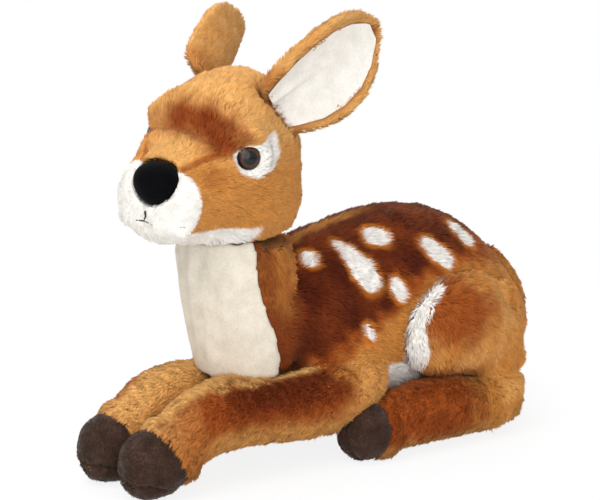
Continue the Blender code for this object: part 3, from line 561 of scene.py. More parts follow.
def fillCreases(cloth, surfaces, reach):
    # stuffing rounds out the valley where one form runs into another
    start = places = readVectors(cloth.data.vertices, "co")
    outward = readVectors(cloth.data.vertices, "normal")
    near = [np.array([tree.find_nearest(Vector(place))[3] for place in places])
            for tree in surfaces]
    share = np.zeros(len(places))
    for other in near[1:]:
        share = np.maximum(share, ease(np.maximum(near[0], other) / mm, reach,
                                       reach * filling["within"]))
    edges = readEdges(cloth.data)
    degree = np.bincount(edges.ravel(), minlength=len(places))[:, None]
    share = share[:, None] * filling["strength"]
    for _ in range(filling["rounds"]):
        total = np.zeros_like(places)
        np.add.at(total, edges[:, 0], places[edges[:, 1]])
        np.add.at(total, edges[:, 1], places[edges[:, 0]])
        places = places + (total / degree - places) * share
        places = places - outward * np.minimum(dot(places - start, outward), 0)
    writePlaces(cloth, places)


def sewForm(name):
    # one closed cloth from the cover and what fills it
    form = forms[name]
    cloth = copyNodes(form["nodes"])
    surfaces = [surfaceOf(cloth)]
    for nodes, point, normal in form.get("merged", ()):
        other = copyNodes(nodes, point, normal)
        surfaces.append(surfaceOf(other))
        makeActive(cloth, other)
        bpy.ops.object.join()
    cloth.name = cloth.data.name = name + "_cloth"
    cloth.data.materials.clear()
    applyModifier(cloth, "REMESH", mode="VOXEL", voxel_size=form["voxel"] * mm)
    dropInnerShells(cloth)
    applyModifier(cloth, "SMOOTH", factor=0.5, iterations=6)
    if "fillet" in form:
        fillCreases(cloth, surfaces, form["fillet"])
    return cloth


cloths = {name: sewForm(name) for name in forms}
print("stage: sewn forms", sum(len(cloth.data.polygons) for cloth in cloths.values()), "faces")


# sculpted details, each a lift off the cloth in mm. The face's places are in the head's own
# frame, and the rest in the toy's

bib = {"wrinkleDepth": 2.8, "hemRoll": 0.6, "hemHeight": 66.0, "hemWidth": 2.6,
       "bearing": 18.0, "girth": 36.0, "flare": 0.44, "spare": 0.8, "drop": 4.5, "recede": 4.5}
hoof = {"seamDepth": 2.6, "seamWidth": 1.2, "seamWander": 0.8, "puckers": 24,
        "puckerDepth": 0.8, "puckerReach": 3.2, "lumps": 0.3,
        "front": {"middle": (21.1, -151.0, 20.5), "radius": 20.6, "seam": (0.10, 0.05, 1.0),
                  "shift": -9.0},
        "hind": {"middle": (48.0, -8.0, 19.5), "radius": 18.8, "seam": (1.0, 0.1, 0.25),
                 "shift": -1.0}}
face = {
    "crease": [(14.0, -75.5, 51.5), (18.0, -66.0, 55.5), (22.5, -56.5, 58.6),
               (27.5, -50.0, 61.0)],
    "brow": [(0.0, -46.0, 82.5), (11.0, -46.0, 81.0), (22.0, -45.0, 76.5), (33.0, -39.0, 70.0)],
    "valley": [(0.0, -57.0, 69.5), (10.0, -56.5, 68.5), (18.0, -55.0, 66.0), (23.0, -52.5, 63.5)],
    "bridge": [(0.0, -65.0, 63.0), (0.0, -78.0, 57.0)],
    "puff": (21.0, -62.0, 61.5),
    "mouthEnd": [(10.5, -87.0, 18.0), (23.0, -80.0, 15.5)],
    "socket": (35.5, -41.0, 58.3), "cheek": (33.0, -50.0, 34.0)}
# how high each line of the face rises, and over what width
faceLines = {"brow": (4.6, 10.0), "valley": (-3.0, 4.2), "bridge": (1.6, 9.0),
             "crease": (-1.8, 2.4), "mouthEnd": (3.4, 5.0)}
# the same of its round swells, the ridge round an eye and the hollow that the eye sits in
faceSwells = {"puffLeft": 1.2, "puffRight": 3.6, "puffWidth": 9.0, "cheek": (1.5, 14.0),
              "jaw": (2.0, 12.0), "jawHeight": 20.0, "eyeRidge": (2.2, 3.2), "ridgeRadius": 11.5,
              "eyeHollow": (1.5, 6.5)}


def flareBib(places):
    # towards its foot the panel spreads, falls back and hangs a little over the legs
    away = places - np.array([0.0, neckY, 0.0])
    level = places[:, 2] / mm
    turn = np.arctan2(away[:, 0], -away[:, 1]) - math.radians(bib["bearing"])
    ahead = ease(places[:, 1] / mm, -82, -96)
    reach = np.hypot(away[:, 0], away[:, 1])
    reach = reach + (bib["spare"] - bib["recede"] * ahead) * mm * ease(level, 125, 68)
    turn = turn * (1 + bib["flare"] * ease(level, 118, 62)) + math.radians(bib["bearing"])
    drop = bib["drop"] * mm * ease(level, 96, 66)
    return np.stack([np.sin(turn) * reach, neckY - np.cos(turn) * reach,
                     places[:, 2] - drop], 1)


def creaseBib(places):
    # vertical drag lines in the cream panel, and the rolled hem at its foot
    level = places[:, 2] / mm
    around = np.arctan2(places[:, 0], neckY - places[:, 1]) * bib["girth"]
    drift = 2.5 * np.sin(level / 17.0) + 1.5 * np.sin(level / 7.0 + 1.0)
    folds = np.sin((around + drift) / 3.1) * 0.6 + np.sin((around - drift) / 1.9 + 1.3) * 0.4
    fade = 0.55 + 0.45 * ease(level, 95, 142)
    lift = folds * fade * bib["wrinkleDepth"] * 0.5
    return lift + bib["hemRoll"] * hill(level - bib["hemHeight"], bib["hemWidth"])


def shapeHoof(kind, hand, seamMirror):
    # a full ball of a hoof whose closing seam is pulled in and puckers the velour
    ball = hoof[kind]
    middle = np.array(ball["middle"]) * [hand, 1, 1]
    axis = np.array(ball["seam"]) * seamMirror
    axis = axis / np.linalg.norm(axis)

    def shape(places):
        away = places / mm - middle
        reach = np.linalg.norm(away, axis=1)
        lift = np.maximum(ball["radius"] - reach, 0) * ease(-away[:, 1], -9, 2)
        lift *= ease(places[:, 2] / mm, 0.5, 5)
        gap = away @ axis - ball["shift"] + hoof["seamWander"] * mottle(places, 0.016, 3)
        beside = np.cross(away, axis)
        turn = np.arctan2(beside[:, 0], beside[:, 1])
        groove = -hoof["seamDepth"] * hill(gap, hoof["seamWidth"])
        groove += hoof["puckerDepth"] * np.sin(turn * hoof["puckers"]) * \
            np.exp(-np.abs(gap) / hoof["puckerReach"])
        lumps = hoof["lumps"] * mottle(places, 0.013, 5)
        return lift + groove * ease(-away[:, 1], 0, 10) + lumps
    return shape


def shapeFace(places):
    # overhanging brow, the valley under it, the snout's bridge, the crease from nose to eye
    # and a swell whose pile covers the ends of the mouth's thread
    own = inHead(places) / mm
    spot = mirrored(own)
    lift = np.zeros(len(places))
    for line, (rise, width) in faceLines.items():
        lift += rise * hill(lineDistance(spot, face[line]), width)
    # a puff beside the crease, fuller on the right, and a full cheek
    swell = faceSwells
    puff = np.where(own[:, 0] < 0, swell["puffRight"], swell["puffLeft"])
    lift += puff * hill(np.linalg.norm(spot - face["puff"], axis=1), swell["puffWidth"])
    rise, width = swell["cheek"]
    lift += rise * hill(np.linalg.norm(spot - face["cheek"], axis=1), width)
    # the back of the jaw is full, and hangs a little over the neck
    rise, width = swell["jaw"]
    lift += rise * ease(spot[:, 1], -42, -28) * hill(spot[:, 2] - swell["jawHeight"], width)
    # a ridge round each eye, which sits in a hollow
    ring = np.linalg.norm(spot - face["socket"], axis=1)
    rise, width = swell["eyeRidge"]
    depth, reach = swell["eyeHollow"]
    return lift + rise * hill(ring - swell["ridgeRadius"], width) - depth * hill(ring, reach)


# how far the limbs are stuffed out or drawn in, in mm
limbs = {"forearm": 4.0, "armpit": 5.0, "wrist": 1.2, "elbow": 3.0, "instep": 5.5, "heel": 2.5,
         "rump": 3.0, "rumpTop": 4.0, "shank": 4.5}


def shapeForeleg(places):
    # full on top of the forearm, a fuller wrist over the hoof, and a trim elbow
    x, y, z = np.abs(places[:, 0]) / mm, places[:, 1] / mm, places[:, 2] / mm
    top = limbs["forearm"] * hill(y + 108, 24) * ease(z, 28, 42)
    # full under the cream panel, where the two legs meet
    top += limbs["armpit"] * hill(y + 90, 18) * ease(z, 30, 44) * ease(x, 32, 14)
    return top + limbs["wrist"] * hill(y + 128, 12) - limbs["elbow"] * ease(y, -8, 8)


def shapeHindFoot(places):
    # thick over the instep, and trimmer at the heel
    y, z = places[:, 1] / mm, places[:, 2] / mm
    top = limbs["instep"] * ease(z, 20, 36) * ease(y, -6, 12) * ease(y, 78, 52)
    return top - limbs["heel"] * ease(y, 82, 100)


def shapeHaunch(places):
    # trim behind the rump, and full where the leg comes down to the heel
    y, z = places[:, 1] / mm, places[:, 2] / mm
    trim = -limbs["rump"] - limbs["rumpTop"] * ease(z, 68, 92)
    return trim * ease(y, 84, 106) + limbs["shank"] * hill(z - 39, 13) * ease(y, 84, 100)


sculpts = {"bib": creaseBib, "head": shapeFace}
for side, hand in sides.items():
    sculpts["front_hoof_" + side] = shapeHoof("front", hand, (hand, 1, 1))
    sculpts["hind_hoof_" + side] = shapeHoof("hind", hand, (1, hand, hand))
    sculpts["foreleg_" + side] = shapeForeleg
    sculpts["hind_foot_" + side] = shapeHindFoot
    sculpts["haunch_" + side] = shapeHaunch


def pastFrontCuff(places):
    # how far ahead of the fur's slanting edge a point of a foreleg lies, in mm
    return -(places[:, 1] / mm + 141.0) - (places[:, 2] / mm - 22.0) * 0.55


def pastHindCuff(places):
    # the same on a hind foot, whose fur ends straight across
    return -(places[:, 1] / mm + 5.0)


def insetOf(name, places):
    # the cloth comes up to the hoof's skin at the cuff and dives into the hoof past it
    depth = np.full(len(places), forms[name]["inset"])
    if name.startswith(("foreleg", "hind_foot")):
        past = pastFrontCuff(places) if name.startswith("foreleg") else pastHindCuff(places)
        depth += 3.0 * ease(past, -1, 4) - 2.2 * ease(past, -14, -6)
    if name == "head":
        depth -= 2.0 * ease(inHead(places)[:, 1] / mm, -70, -78)
    if name == "neck":
        # its top is drawn in under the head
        depth += 6.0 * ease(places[:, 2] / mm, 108, 144) * ease(places[:, 1] / mm, -88, -70)
    if name in ("neck", "torso"):
        # the breast falls back behind the cream panel
        ahead = ease(places[:, 1] / mm, -82, -96)
        depth += bib["recede"] * ease(places[:, 2] / mm, 125, 68) * ahead
    return depth


def sculptForm(name):
    cloth = cloths[name]
    places = readVectors(cloth.data.vertices, "co")
    normals = readVectors(cloth.data.vertices, "normal")
    lift = -insetOf(name, places)
    if name in sculpts:
        lift = lift + sculpts[name](places)
    places = places + normals * lift[:, None] * mm
    if name.startswith("ear"):
        side = name[4:]
        spot = inEar(places, side) / mm
        curl = curlEar(spot[:, 0], spot[:, 2], side) * ease(spot[:, 2], -2, 8)
        places = places + curl[:, None] * mm * earAxes[side][1]
    writePlaces(cloth, flareBib(places) if name == "bib" else places)
    applyModifier(cloth, "SMOOTH", factor=0.5, iterations=1 if "hoof" in name else 2)
    makeActive(cloth)
    bpy.ops.object.shade_smooth()


for name in forms:
    sculptForm(name)
print("stage: creases and seams")


# the printed coat: colours in sRGB, laid by place in the toy's own frame

dyes = {"gold": "#dfa762", "tan": "#c9863f", "rust": "#9c4c1a", "chestnut": "#7d3510",
        "chocolate": "#541d08", "white": "#f1eee8", "amber": "#c87526", "hoof": "#3a2a21"}
dye = {name: np.array(hexToLinear(code)) for name, code in dyes.items()}

# middle of each white spot on the flank, its long axis, half length and half width, in mm
flankSpots = [
    ((20.5, -33.1, 125.6), (0.5, 0.2, -0.8), 6.4, 4.8),
    ((30.0, -3.5, 118.5), (22.7, 16.9, -29.9), 20.5, 8.6),
    ((24.7, 18.0, 133.0), (0.2, 1.0, -0.3), 8.6, 7.0),
    ((43.0, 20.8, 102.0), (0.1, 0.3, -1.0), 8.0, 5.0),
    ((42.5, -2.2, 77.9), (0.0, 0.5, -1.0), 6.6, 2.8),
    ((39.0, 57.5, 119.5), (11.2, 20.0, -20.2), 13.6, 6.6),
    ((29.5, 88.0, 127.5), (13.0, 8.0, -13.3), 11.0, 7.4),
]


# borders in the print: at each place along the first row the border lies at the second, in mm
borders = {
    # lower edge of the dark saddle along the body
    "saddle": ([-70, -50, -30, -15, 0, 15, 30, 50, 80, 120],
               [50, 53, 64, 74, 80, 90, 102, 110, 114, 112]),
    # front edge of the white strip that runs up the flank
    "strip": ([50, 56, 62, 72, 84, 96, 103], [28, 27.5, 27, 26, 28.5, 40, 52]),
    # back edge of that white on the haunch
    "haunch": ([40, 48, 56, 72, 80, 90, 101, 110], [33, 33, 31.5, 28.5, 28.5, 35, 48, 54]),
    # back edge of the white muzzle, in the head's own frame
    "muzzle": ([10, 18, 27, 36, 44, 50, 56], [-73.5, -74.0, -73.5, -73.5, -74.5, -77.0, -86.0]),
}


def spotShare(points, reach):
    # how far inside a white spot each point lies: 1 at its edge, less inside
    best = np.full(len(points), 9.0)
    spot = mirrored(points)
    wobble = 0.7 * mottle(points, 9.0, 8)
    for middle, axis, long, wide in flankSpots:
        axis = np.array(axis) / np.linalg.norm(axis)
        away = spot - np.array(middle)
        run = away @ axis
        beside = np.linalg.norm(away - run[:, None] * axis, axis=1) + wobble
        taper = 1.0 - 0.46 * np.clip(0.2 - run / long, 0, 1) * (long > 18)
        far = np.abs(run / (long + reach)) ** 2.4
        far += np.abs(np.maximum(beside, 0) / ((wide + reach) * taper)) ** 2.4
        best = np.minimum(best, far ** 0.42)
    return best


def torsoCoat(points, normals):
    p = points / mm
    x, y, z = np.abs(p[:, 0]), p[:, 1], p[:, 2]
    wild = mottle(points, 0.020, 1) * 4 + mottle(points, 0.007, 2) * 1.5
    # dark saddle over rust over golden flank
    low = np.interp(y, *borders["saddle"])
    colour = blendTo(dye["chocolate"], dye["chestnut"], 0.35 + 0.4 * mottle(points, 0.03, 4))
    colour = blendTo(colour, dye["rust"], ease(z + wild, low + 10, low))
    colour = blendTo(colour, dye["tan"], ease(z + wild, low + 2, low - 12))
    # the shoulder runs into the foreleg
    leg = forelegCoat(points, normals)
    outer = ease(y, 15, 9) * ease(x, 20, 28)
    colour = blendTo(colour, leg, ease(z + wild, 60, 48) * outer)
    # golden line along the fore part of the spine
    colour = blendTo(colour, dye["tan"], ease(x + wild * 0.3, 7, 3) * ease(y, 40, 5) * 0.75)
    rear = ease(y + wild, 96, 122)
    colour = blendTo(colour, blendTo(dye["rust"], dye["tan"], ease(z + wild, 122, 92)), rear)
    colour = blendTo(colour, dye["amber"], ease(spotShare(p, 2.6), 1.20, 0.85) * 0.8)
    colour = blendTo(colour, dye["white"], ease(spotShare(p, 0.0), 1.06, 0.94))
    # neck side below the head, darker beside the cream panel
    collar = ease(y, -46, -58) * ease(z, 52, 66)
    colour = blendTo(colour, neckCoat(points, normals), collar)
    # white underneath, up the flank in front of the haunch
    edge = np.interp(z, *borders["strip"])
    strip = ease(y + wild * 0.2, edge - 0.8, edge + 0.8) * ease(x, 30, 36) * \
        ease(z, 106, 100) * ease(y, 78, 68)
    belly = ease(z + wild * 0.4, 56, 53) * ease(y, 112, 98) * ease(y, -20, -8) * (1 - outer)
    return blendTo(colour, dye["white"], np.maximum(strip, belly))


def haunchCoat(points, normals):
    p = points / mm
    y, z = p[:, 1], p[:, 2]
    wild = mottle(points, 0.014, 6) * 3
    patch = np.sqrt(((y - 53) / 30) ** 2 + ((z - 86) / 24) ** 2)
    colour = blendTo(dye["gold"], dye["tan"], 0.7 + 0.35 * mottle(points, 0.02, 7))
    colour = blendTo(colour, dye["rust"], ease(patch + wild * 0.05, 1.45, 0.50) * 0.95)
    colour = blendTo(colour, dye["rust"], ease(z + wild, 54, 42) * ease(y, 88, 70) * 0.7)
    edge = np.interp(z, *borders["haunch"])
    return blendTo(colour, dye["white"], ease(y + wild * 0.25, edge + 0.8, edge - 0.8))


def hindFootCoat(points, normals):
    p = points / mm
    y, z = p[:, 1], p[:, 2]
    wild = mottle(points, 0.014, 9) * 6
    colour = blendTo(dye["rust"], dye["chestnut"], 0.15 + 0.3 * mottle(points, 0.02, 10))
    colour = blendTo(colour, dye["tan"], ease(y + wild, 50, 82))
    return blendTo(colour, dye["gold"], ease(z + wild * 0.5, 15, 5) * 0.5)


def forelegCoat(points, normals):
    p = points / mm
    hand = np.where(p[:, 0] > 0, 1.0, -1.0)
    y = p[:, 1]
    wild = mottle(points, 0.014, 11) * 4
    # a dark streak along the upper outer side, sharp above and soft below
    out, up = normals[:, 0] * hand, normals[:, 2]
    streak = np.maximum(ease(up + wild * 0.015, 1.0, 0.86), ease(y + wild, -84, -66))
    streak *= ease(up + wild * 0.03, -0.75, 0.20) * ease(out, 0.0, 0.35)
    streak *= ease(y + wild, -150, -122) * ease(y + wild, -16, -40)
    # gold where the cloth faces up and tan where it faces down: partly the leg's own print,
    # partly painted light on its upper side
    colour = blendTo(dye["gold"], dye["tan"], ease(up + wild * 0.03, 0.9, 0.1) * 0.6)
    colour = blendTo(colour, dye["rust"], streak)
    colour = blendTo(colour, dye["chestnut"],
                     streak * ease(y + wild, -128, -90) * ease(up, -0.1, 0.45))
    colour = blendTo(colour, dye["chocolate"],
                     streak * ease(y + wild, -120, -90) * ease(up, 0.2, 0.7) * 0.5)
    return blendTo(colour, dye["rust"], ease(y + wild, -118, -140) * ease(out, -0.2, 0.5) * 0.5)


def neckCoat(points, normals):
    p = points / mm
    z = p[:, 2]
    wild = mottle(points, 0.016, 13) * 5
    colour = blendTo(dye["tan"], dye["rust"], 0.35 + 0.3 * mottle(points, 0.02, 14))
    colour = blendTo(colour, dye["chestnut"], ease(z + wild, 118, 84) * 0.95)
    bearing = math.radians(bib["bearing"])
    forward = (neckY / mm - p[:, 1]) * math.cos(bearing) + p[:, 0] * math.sin(bearing)
    return blendTo(colour, dye["chestnut"], ease(forward + wild * 0.4, 0, 14) * 0.7)


# the white patch round each eye, its corners in turn seen from the side of the head, in mm
eyeWhite = [(-50.0, 58.0), (-43.0, 63.0), (-31.0, 69.0), (-17.0, 71.0), (-16.0, 59.0),
            (-24.0, 49.5), (-38.0, 46.5), (-47.0, 49.5)]


def muzzleShare(spot):
    # 1 on the white muzzle and under the jaw
    edge = np.interp(spot[:, 2], *borders["muzzle"])
    return np.maximum(ease(spot[:, 1], edge + 0.7, edge - 0.7),
                      ease(spot[:, 2], 15.6, 14.2) * ease(spot[:, 1], -19, -27))


def headCoat(points, normals):
    spot = inHead(points) / mm
    wild = mottle(points, 0.012, 15)
    side = np.abs(spot[:, 0])
    twin = mirrored(spot)
    colour = blendTo(dye["gold"], dye["tan"], ease(spot[:, 2] + wild * 5, 76, 44) * 0.9)
    # golden bridge of the snout
    bridge = lineDistance(twin, [(0.0, -60.0, 66.0), (4.0, -76.0, 58.0)])
    colour = blendTo(colour, dye["gold"], ease(bridge, 16, 8))
    # dark patch on the brow, deepest over the eyes: painted shadow under the overhanging brow,
    # fainter on the right side
    patch = lineDistance(twin, [(3.0, -52.0, 75.0), (12.0, -51.0, 73.5), (24.0, -49.0, 67.5)])
    patch = ease(patch + wild * 2.5, 19.0, 3.0) * ease(spot[:, 1], -30, -42)
    patch = patch * (0.35 + 0.65 * ease(spot[:, 0], -22, -8))
    colour = blendTo(colour, dye["rust"], patch * 0.9)
    colour = blendTo(colour, dye["chestnut"],
                     patch ** 1.6 * np.interp(side, [0, 9], [0.6, 0.9]))
    # warm shadow below the crease, on the cheek's rear and at the ear roots
    colour = blendTo(colour, dye["rust"],
                     ease(lineDistance(twin, face["crease"]), 3.2, 0.5) * 0.85)
    below = np.linalg.norm((twin - [25, -62, 47]) / [14, 9, 8], axis=1)
    colour = blendTo(colour, dye["rust"], ease(below, 1.3, 0.3) * 0.4)
    ear = np.linalg.norm((twin - [30, -8, 84]) / [10, 12, 12], axis=1)
    colour = blendTo(colour, dye["rust"], ease(ear, 1.2, 0.6) * 0.2)
    within = insidePolygon(twin[:, 1], twin[:, 2], eyeWhite)
    colour = blendTo(colour, dye["white"], ease(within, -0.7, 0.7) * ease(side, 19, 23))
    return blendTo(colour, dye["white"], muzzleShare(spot + wild[:, None] * 0.5))


def earCoat(side):
    def coat(points, normals):
        spot = inEar(points, side) / mm
        colour = blendTo(dye["gold"], dye["tan"], 0.05 + 0.30 * mottle(points, 0.02, 16))
        half = earHalf(spot[:, 2])
        inner = ease(-(normals @ earAxes[side][1]), 0.3, 0.9) * \
            ease(half - np.abs(spot[:, 0]), 3.0, 6.0)
        colour = blendTo(colour, dye["rust"], inner * 0.85)
        return blendTo(colour, dye["rust"], ease(spot[:, 2], 24, 6) * 0.5)
    return coat


def tailCoat(points, normals):
    z = points[:, 2] / mm
    wild = mottle(points, 0.01, 17) * 5
    return blendTo(dye["rust"], dye["tan"], ease(z + wild, 112, 92))


def hoofCoat(points, normals):
    return np.tile(dye["hoof"], (len(points), 1))


# which way the pile lies

def straightFlow(*way):
    return lambda points, normals: np.array(way) + normals * 0


def haunchFlow(points, normals):
    # outwards from the thigh's middle, and back and down
    out = points - np.array([0.0, 0.030, 0.095])
    out[:, 0] = 0
    return unit(out) * 0.7 + np.array([0.0, 0.35, -0.65])


def headFlow(points, normals):
    # back from the tip of the snout, up over the brow and down over the jaw
    spot = inHead(points) / mm
    out = unit(spot - np.array([0.0, -90.0, 38.0]))
    out[:, 2] += 0.30 * ease(spot[:, 2], 40, 62) - 0.30 * ease(spot[:, 2], 45, 20)
    return out @ headAxes


downFlow = straightFlow(0.0, 0.2, -1.0)
footFlow = straightFlow(0.0, -0.85, -0.45)


# where the pile is longer or shorter, and where none grows

nose = {"middle": (0.8, -79.0, 41.2), "half": (15.6, 12.0, 12.6), "bed": 0.4,
        "width": 0.96, "spread": 0.06, "flatTop": 0.93}
bareRadius = {"eye": 6.7, "thread": 1.8}
# the two lines of thread, in the head's own frame in mm
mouthLine = [(-5.5, -88.0, 18.8), (0.0, -89.0, 20.3), (5.0, -88.5, 19.4)]
stitchFoot = [(0.0, -90.0, 20.0), (0.0, -91.0, 31.0)]


def headLength(points):
    # short on the muzzle and round the eyes, longer on the brow and cheeks
    spot = inHead(points) / mm
    twin = mirrored(spot)
    share = 1.0 - 0.5 * ease(spot[:, 1], -58, -74)
    share -= 0.3 * ease(np.linalg.norm(twin - face["socket"], axis=1), 16, 10)
    share += 0.45 * hill(lineDistance(twin, face["brow"][:3]), 9.0)
    return np.maximum(share, 0.4)


def torsoLength(points):
    # shorter towards the belly
    return 1.0 - 0.2 * ease(points[:, 2] / mm, 60, 40)


def headBare(points):
    # under the nose, inside the eyes and on the mouth's thread
    spot = inHead(points) / mm
    twin = mirrored(spot)
    bed = np.array(nose["half"]) - nose["bed"]
    inNose = np.linalg.norm((spot - np.array(nose["middle"])) / bed, axis=1) < 1
    inEye = np.linalg.norm(twin - face["socket"], axis=1) < bareRadius["eye"]
    thread = np.minimum(lineDistance(spot, mouthLine), lineDistance(spot, stitchFoot))
    return inNose | inEye | (thread < bareRadius["thread"])


# the lining's bed in the hollow of each ear, in mm
earBed = {"depth": 2.2, "rim": 6.0, "foot": 4.0, "top": 79.0}


def earBare(side):
    def bare(points):
        # the lining covers the hollow face inside the rim
        spot = inEar(points, side) / mm
        half = earHalf(spot[:, 2])
        bend = earCup * (spot[:, 0] / (earWidth / 2)) ** 2
        hollow = spot[:, 1] < earBed["depth"] - bend + curlEar(spot[:, 0], spot[:, 2], side)
        within = np.abs(spot[:, 0]) < half - earBed["rim"]
        return hollow & within & (spot[:, 2] < earBed["top"]) & (spot[:, 2] > earBed["foot"])
    return bare


def forelegBare(points):
    return pastFrontCuff(points) > 0


def hindFootBare(points):
    return pastHindCuff(points) > 0


bareRules = {"head": headBare}
lengthRules = {"head": headLength, "torso": torsoLength}

# bundles are sparser underneath, and most of all where the toy stands on the floor
sowing = {"under": 0.5, "standing": 0.35, "standingHeight": 0.007, "quickShare": 0.3}

# a bundle rises steeply from its root and lies flatter past its bend: its lower and upper
# shares of the length, how steep each is against the pile's lift, how deep the root sits in
# mm, how far neighbours lean together, and how the direction wanders over 20 mm, over 6 mm
# and from one bundle to the next
bundle = {"lower": 0.42, "upper": 0.58, "lowerSteep": 1.5, "upperSteep": 0.55, "depth": 0.4,
          "lean": 0.22, "wander": (0.30, 0.22, 0.14)}

# pile length and fibre-bundle width in mm, lift off the cloth in degrees, bundles per mm2
piles = {
    "torso": {"length": 5.8, "width": 0.56, "lift": 30, "perMm2": 1.6, "coat": torsoCoat,
              "flow": straightFlow(0.0, 0.9, -0.42)},
    "neck": {"length": 5.2, "width": 0.48, "lift": 30, "perMm2": 2.2, "coat": neckCoat,
             "flow": downFlow},
    "head": {"length": 4.8, "width": 0.49, "lift": 27, "perMm2": 2.5, "coat": headCoat,
             "flow": headFlow},
    "tail": {"length": 4.8, "width": 0.48, "lift": 24, "perMm2": 2.2, "coat": tailCoat,
             "flow": straightFlow(0.0, 0.5, -0.85)},
}
for side in sides:
    piles["haunch_" + side] = {"length": 5.2, "width": 0.52, "lift": 32, "perMm2": 2.0,
                               "coat": haunchCoat, "flow": haunchFlow}
    piles["foreleg_" + side] = {"length": 5.0, "width": 0.52, "lift": 33, "perMm2": 2.1,
                                "coat": forelegCoat, "flow": footFlow}
    piles["hind_foot_" + side] = {"length": 5.0, "width": 0.52, "lift": 32, "perMm2": 2.0,
                                  "coat": hindFootCoat, "flow": footFlow}
    piles["ear_" + side] = {"length": 4.2, "width": 0.42, "lift": 27, "perMm2": 2.7,
                            "coat": earCoat(side), "flow": straightFlow(*earAxes[side][2])}
    for hoofName in ("front_hoof_", "hind_hoof_"):
        piles[hoofName + side] = {"length": 1.2, "width": 0.32, "lift": 40, "perMm2": 1.5,
                                  "coat": hoofCoat, "flow": downFlow}
    bareRules["ear_" + side] = earBare(side)
    bareRules["foreleg_" + side] = forelegBare
    bareRules["hind_foot_" + side] = hindFootBare


def liesInside(surface, spot, toward):
    # behind the nearest wall of a closed form, with another wall on the way out
    near, normal, _, _ = surface.find_nearest(spot)
    if (spot - near).dot(normal) >= 0:
        return False
    wall, normal, _, _ = surface.ray_cast(spot, toward)
    return wall is not None and toward.dot(normal) > 0


def facesInTheOpen():
    # a face of one form that lies inside another form carries no pile
    standOff = 1.8 * mm
    surfaces, boxes = {}, {}
    for name, cloth in cloths.items():
        places = readVectors(cloth.data.vertices, "co")
        surfaces[name] = surfaceOf(cloth)
        boxes[name] = (places.min(0), places.max(0))
    shown = {}
    for name, cloth in cloths.items():
        outward = readVectors(cloth.data.polygons, "normal")
        centres = readVectors(cloth.data.polygons, "center") + outward * standOff
        keep = np.ones(len(centres))
        for other, surface in surfaces.items():
            if other == name:
                continue
            low, high = boxes[other]
            for index in np.where(((centres > low) & (centres < high)).all(1))[0]:
                if liesInside(surface, Vector(centres[index]), Vector(outward[index])):
                    keep[index] = 0
        shown[name] = keep
    return shown


def addValues(mesh, name, kind, field, values):
    made = mesh.attributes.new(name, kind, "POINT")
    made.data.foreach_set(field, np.asarray(values, np.float32).ravel())


def whiteShare(colour):
    # 1 on white pile and 0 on brown, told by how much blue there is
    return ease(colour[..., 2], 0.35, 0.75)


def dyeCloth(name, cloth):
    # the cloth under the pile carries the same print, darkened by the painted shade of the pile's
    # roots, less where it is white
    places = readVectors(cloth.data.vertices, "co")
    normals = readVectors(cloth.data.vertices, "normal")
    colour = np.ones((len(places), 4))
    colour[:, :3] = np.clip(piles[name]["coat"](places, normals), 0, 1)
    addValues(cloth.data, "coat", "FLOAT_COLOR", "color", colour)
    pale = whiteShare(colour[:, :3])
    addValues(cloth.data, "along", "FLOAT", "value", 0.3 + 0.4 * pale)
    addValues(cloth.data, "strand", "FLOAT", "value", np.full(len(places), 0.5))


def scatterRoots(name, mesh, keep, rng):
    # even random places over the cloth's open faces, with the cloth's smooth normals
    mesh.calc_loop_triangles()
    places = readVectors(mesh.vertices, "co")
    bends = readVectors(mesh.vertices, "normal")
    corners = np.zeros(len(mesh.loop_triangles) * 3, np.int32)
    mesh.loop_triangles.foreach_get("vertices", corners)
    corners = corners.reshape(-1, 3)
    owner = np.zeros(len(mesh.loop_triangles), np.int32)
    mesh.loop_triangles.foreach_get("polygon_index", owner)
    a, b, c = (places[corners[:, i]] for i in range(3))
    weight = np.linalg.norm(np.cross(b - a, c - a), axis=1) / 2 * keep[owner]
    down = -bends[corners].mean(1)[:, 2]
    standing = (down > 0.8) * (a[:, 2] < sowing["standingHeight"])
    weight = weight * (1 - sowing["under"] * ease(down, 0.3, 0.7) - sowing["standing"] * standing)
    share = 1.0
    count = int(weight.sum() * 1e6 * piles[name]["perMm2"] * share)
    pick = rng.choice(len(corners), count, p=weight / weight.sum())
    u, v = rng.random((count, 1)), rng.random((count, 1))
    u, v = np.where(u + v > 1, 1 - u, u), np.where(u + v > 1, 1 - v, v)
    w = 1 - u - v
    root = a[pick] * w + b[pick] * u + c[pick] * v
    t = corners[pick]
    normal = unit(bends[t[:, 0]] * w + bends[t[:, 1]] * u + bends[t[:, 2]] * v)
    if name in bareRules:
        left = ~bareRules[name](root)
        root, normal = root[left], normal[left]
    return root, normal


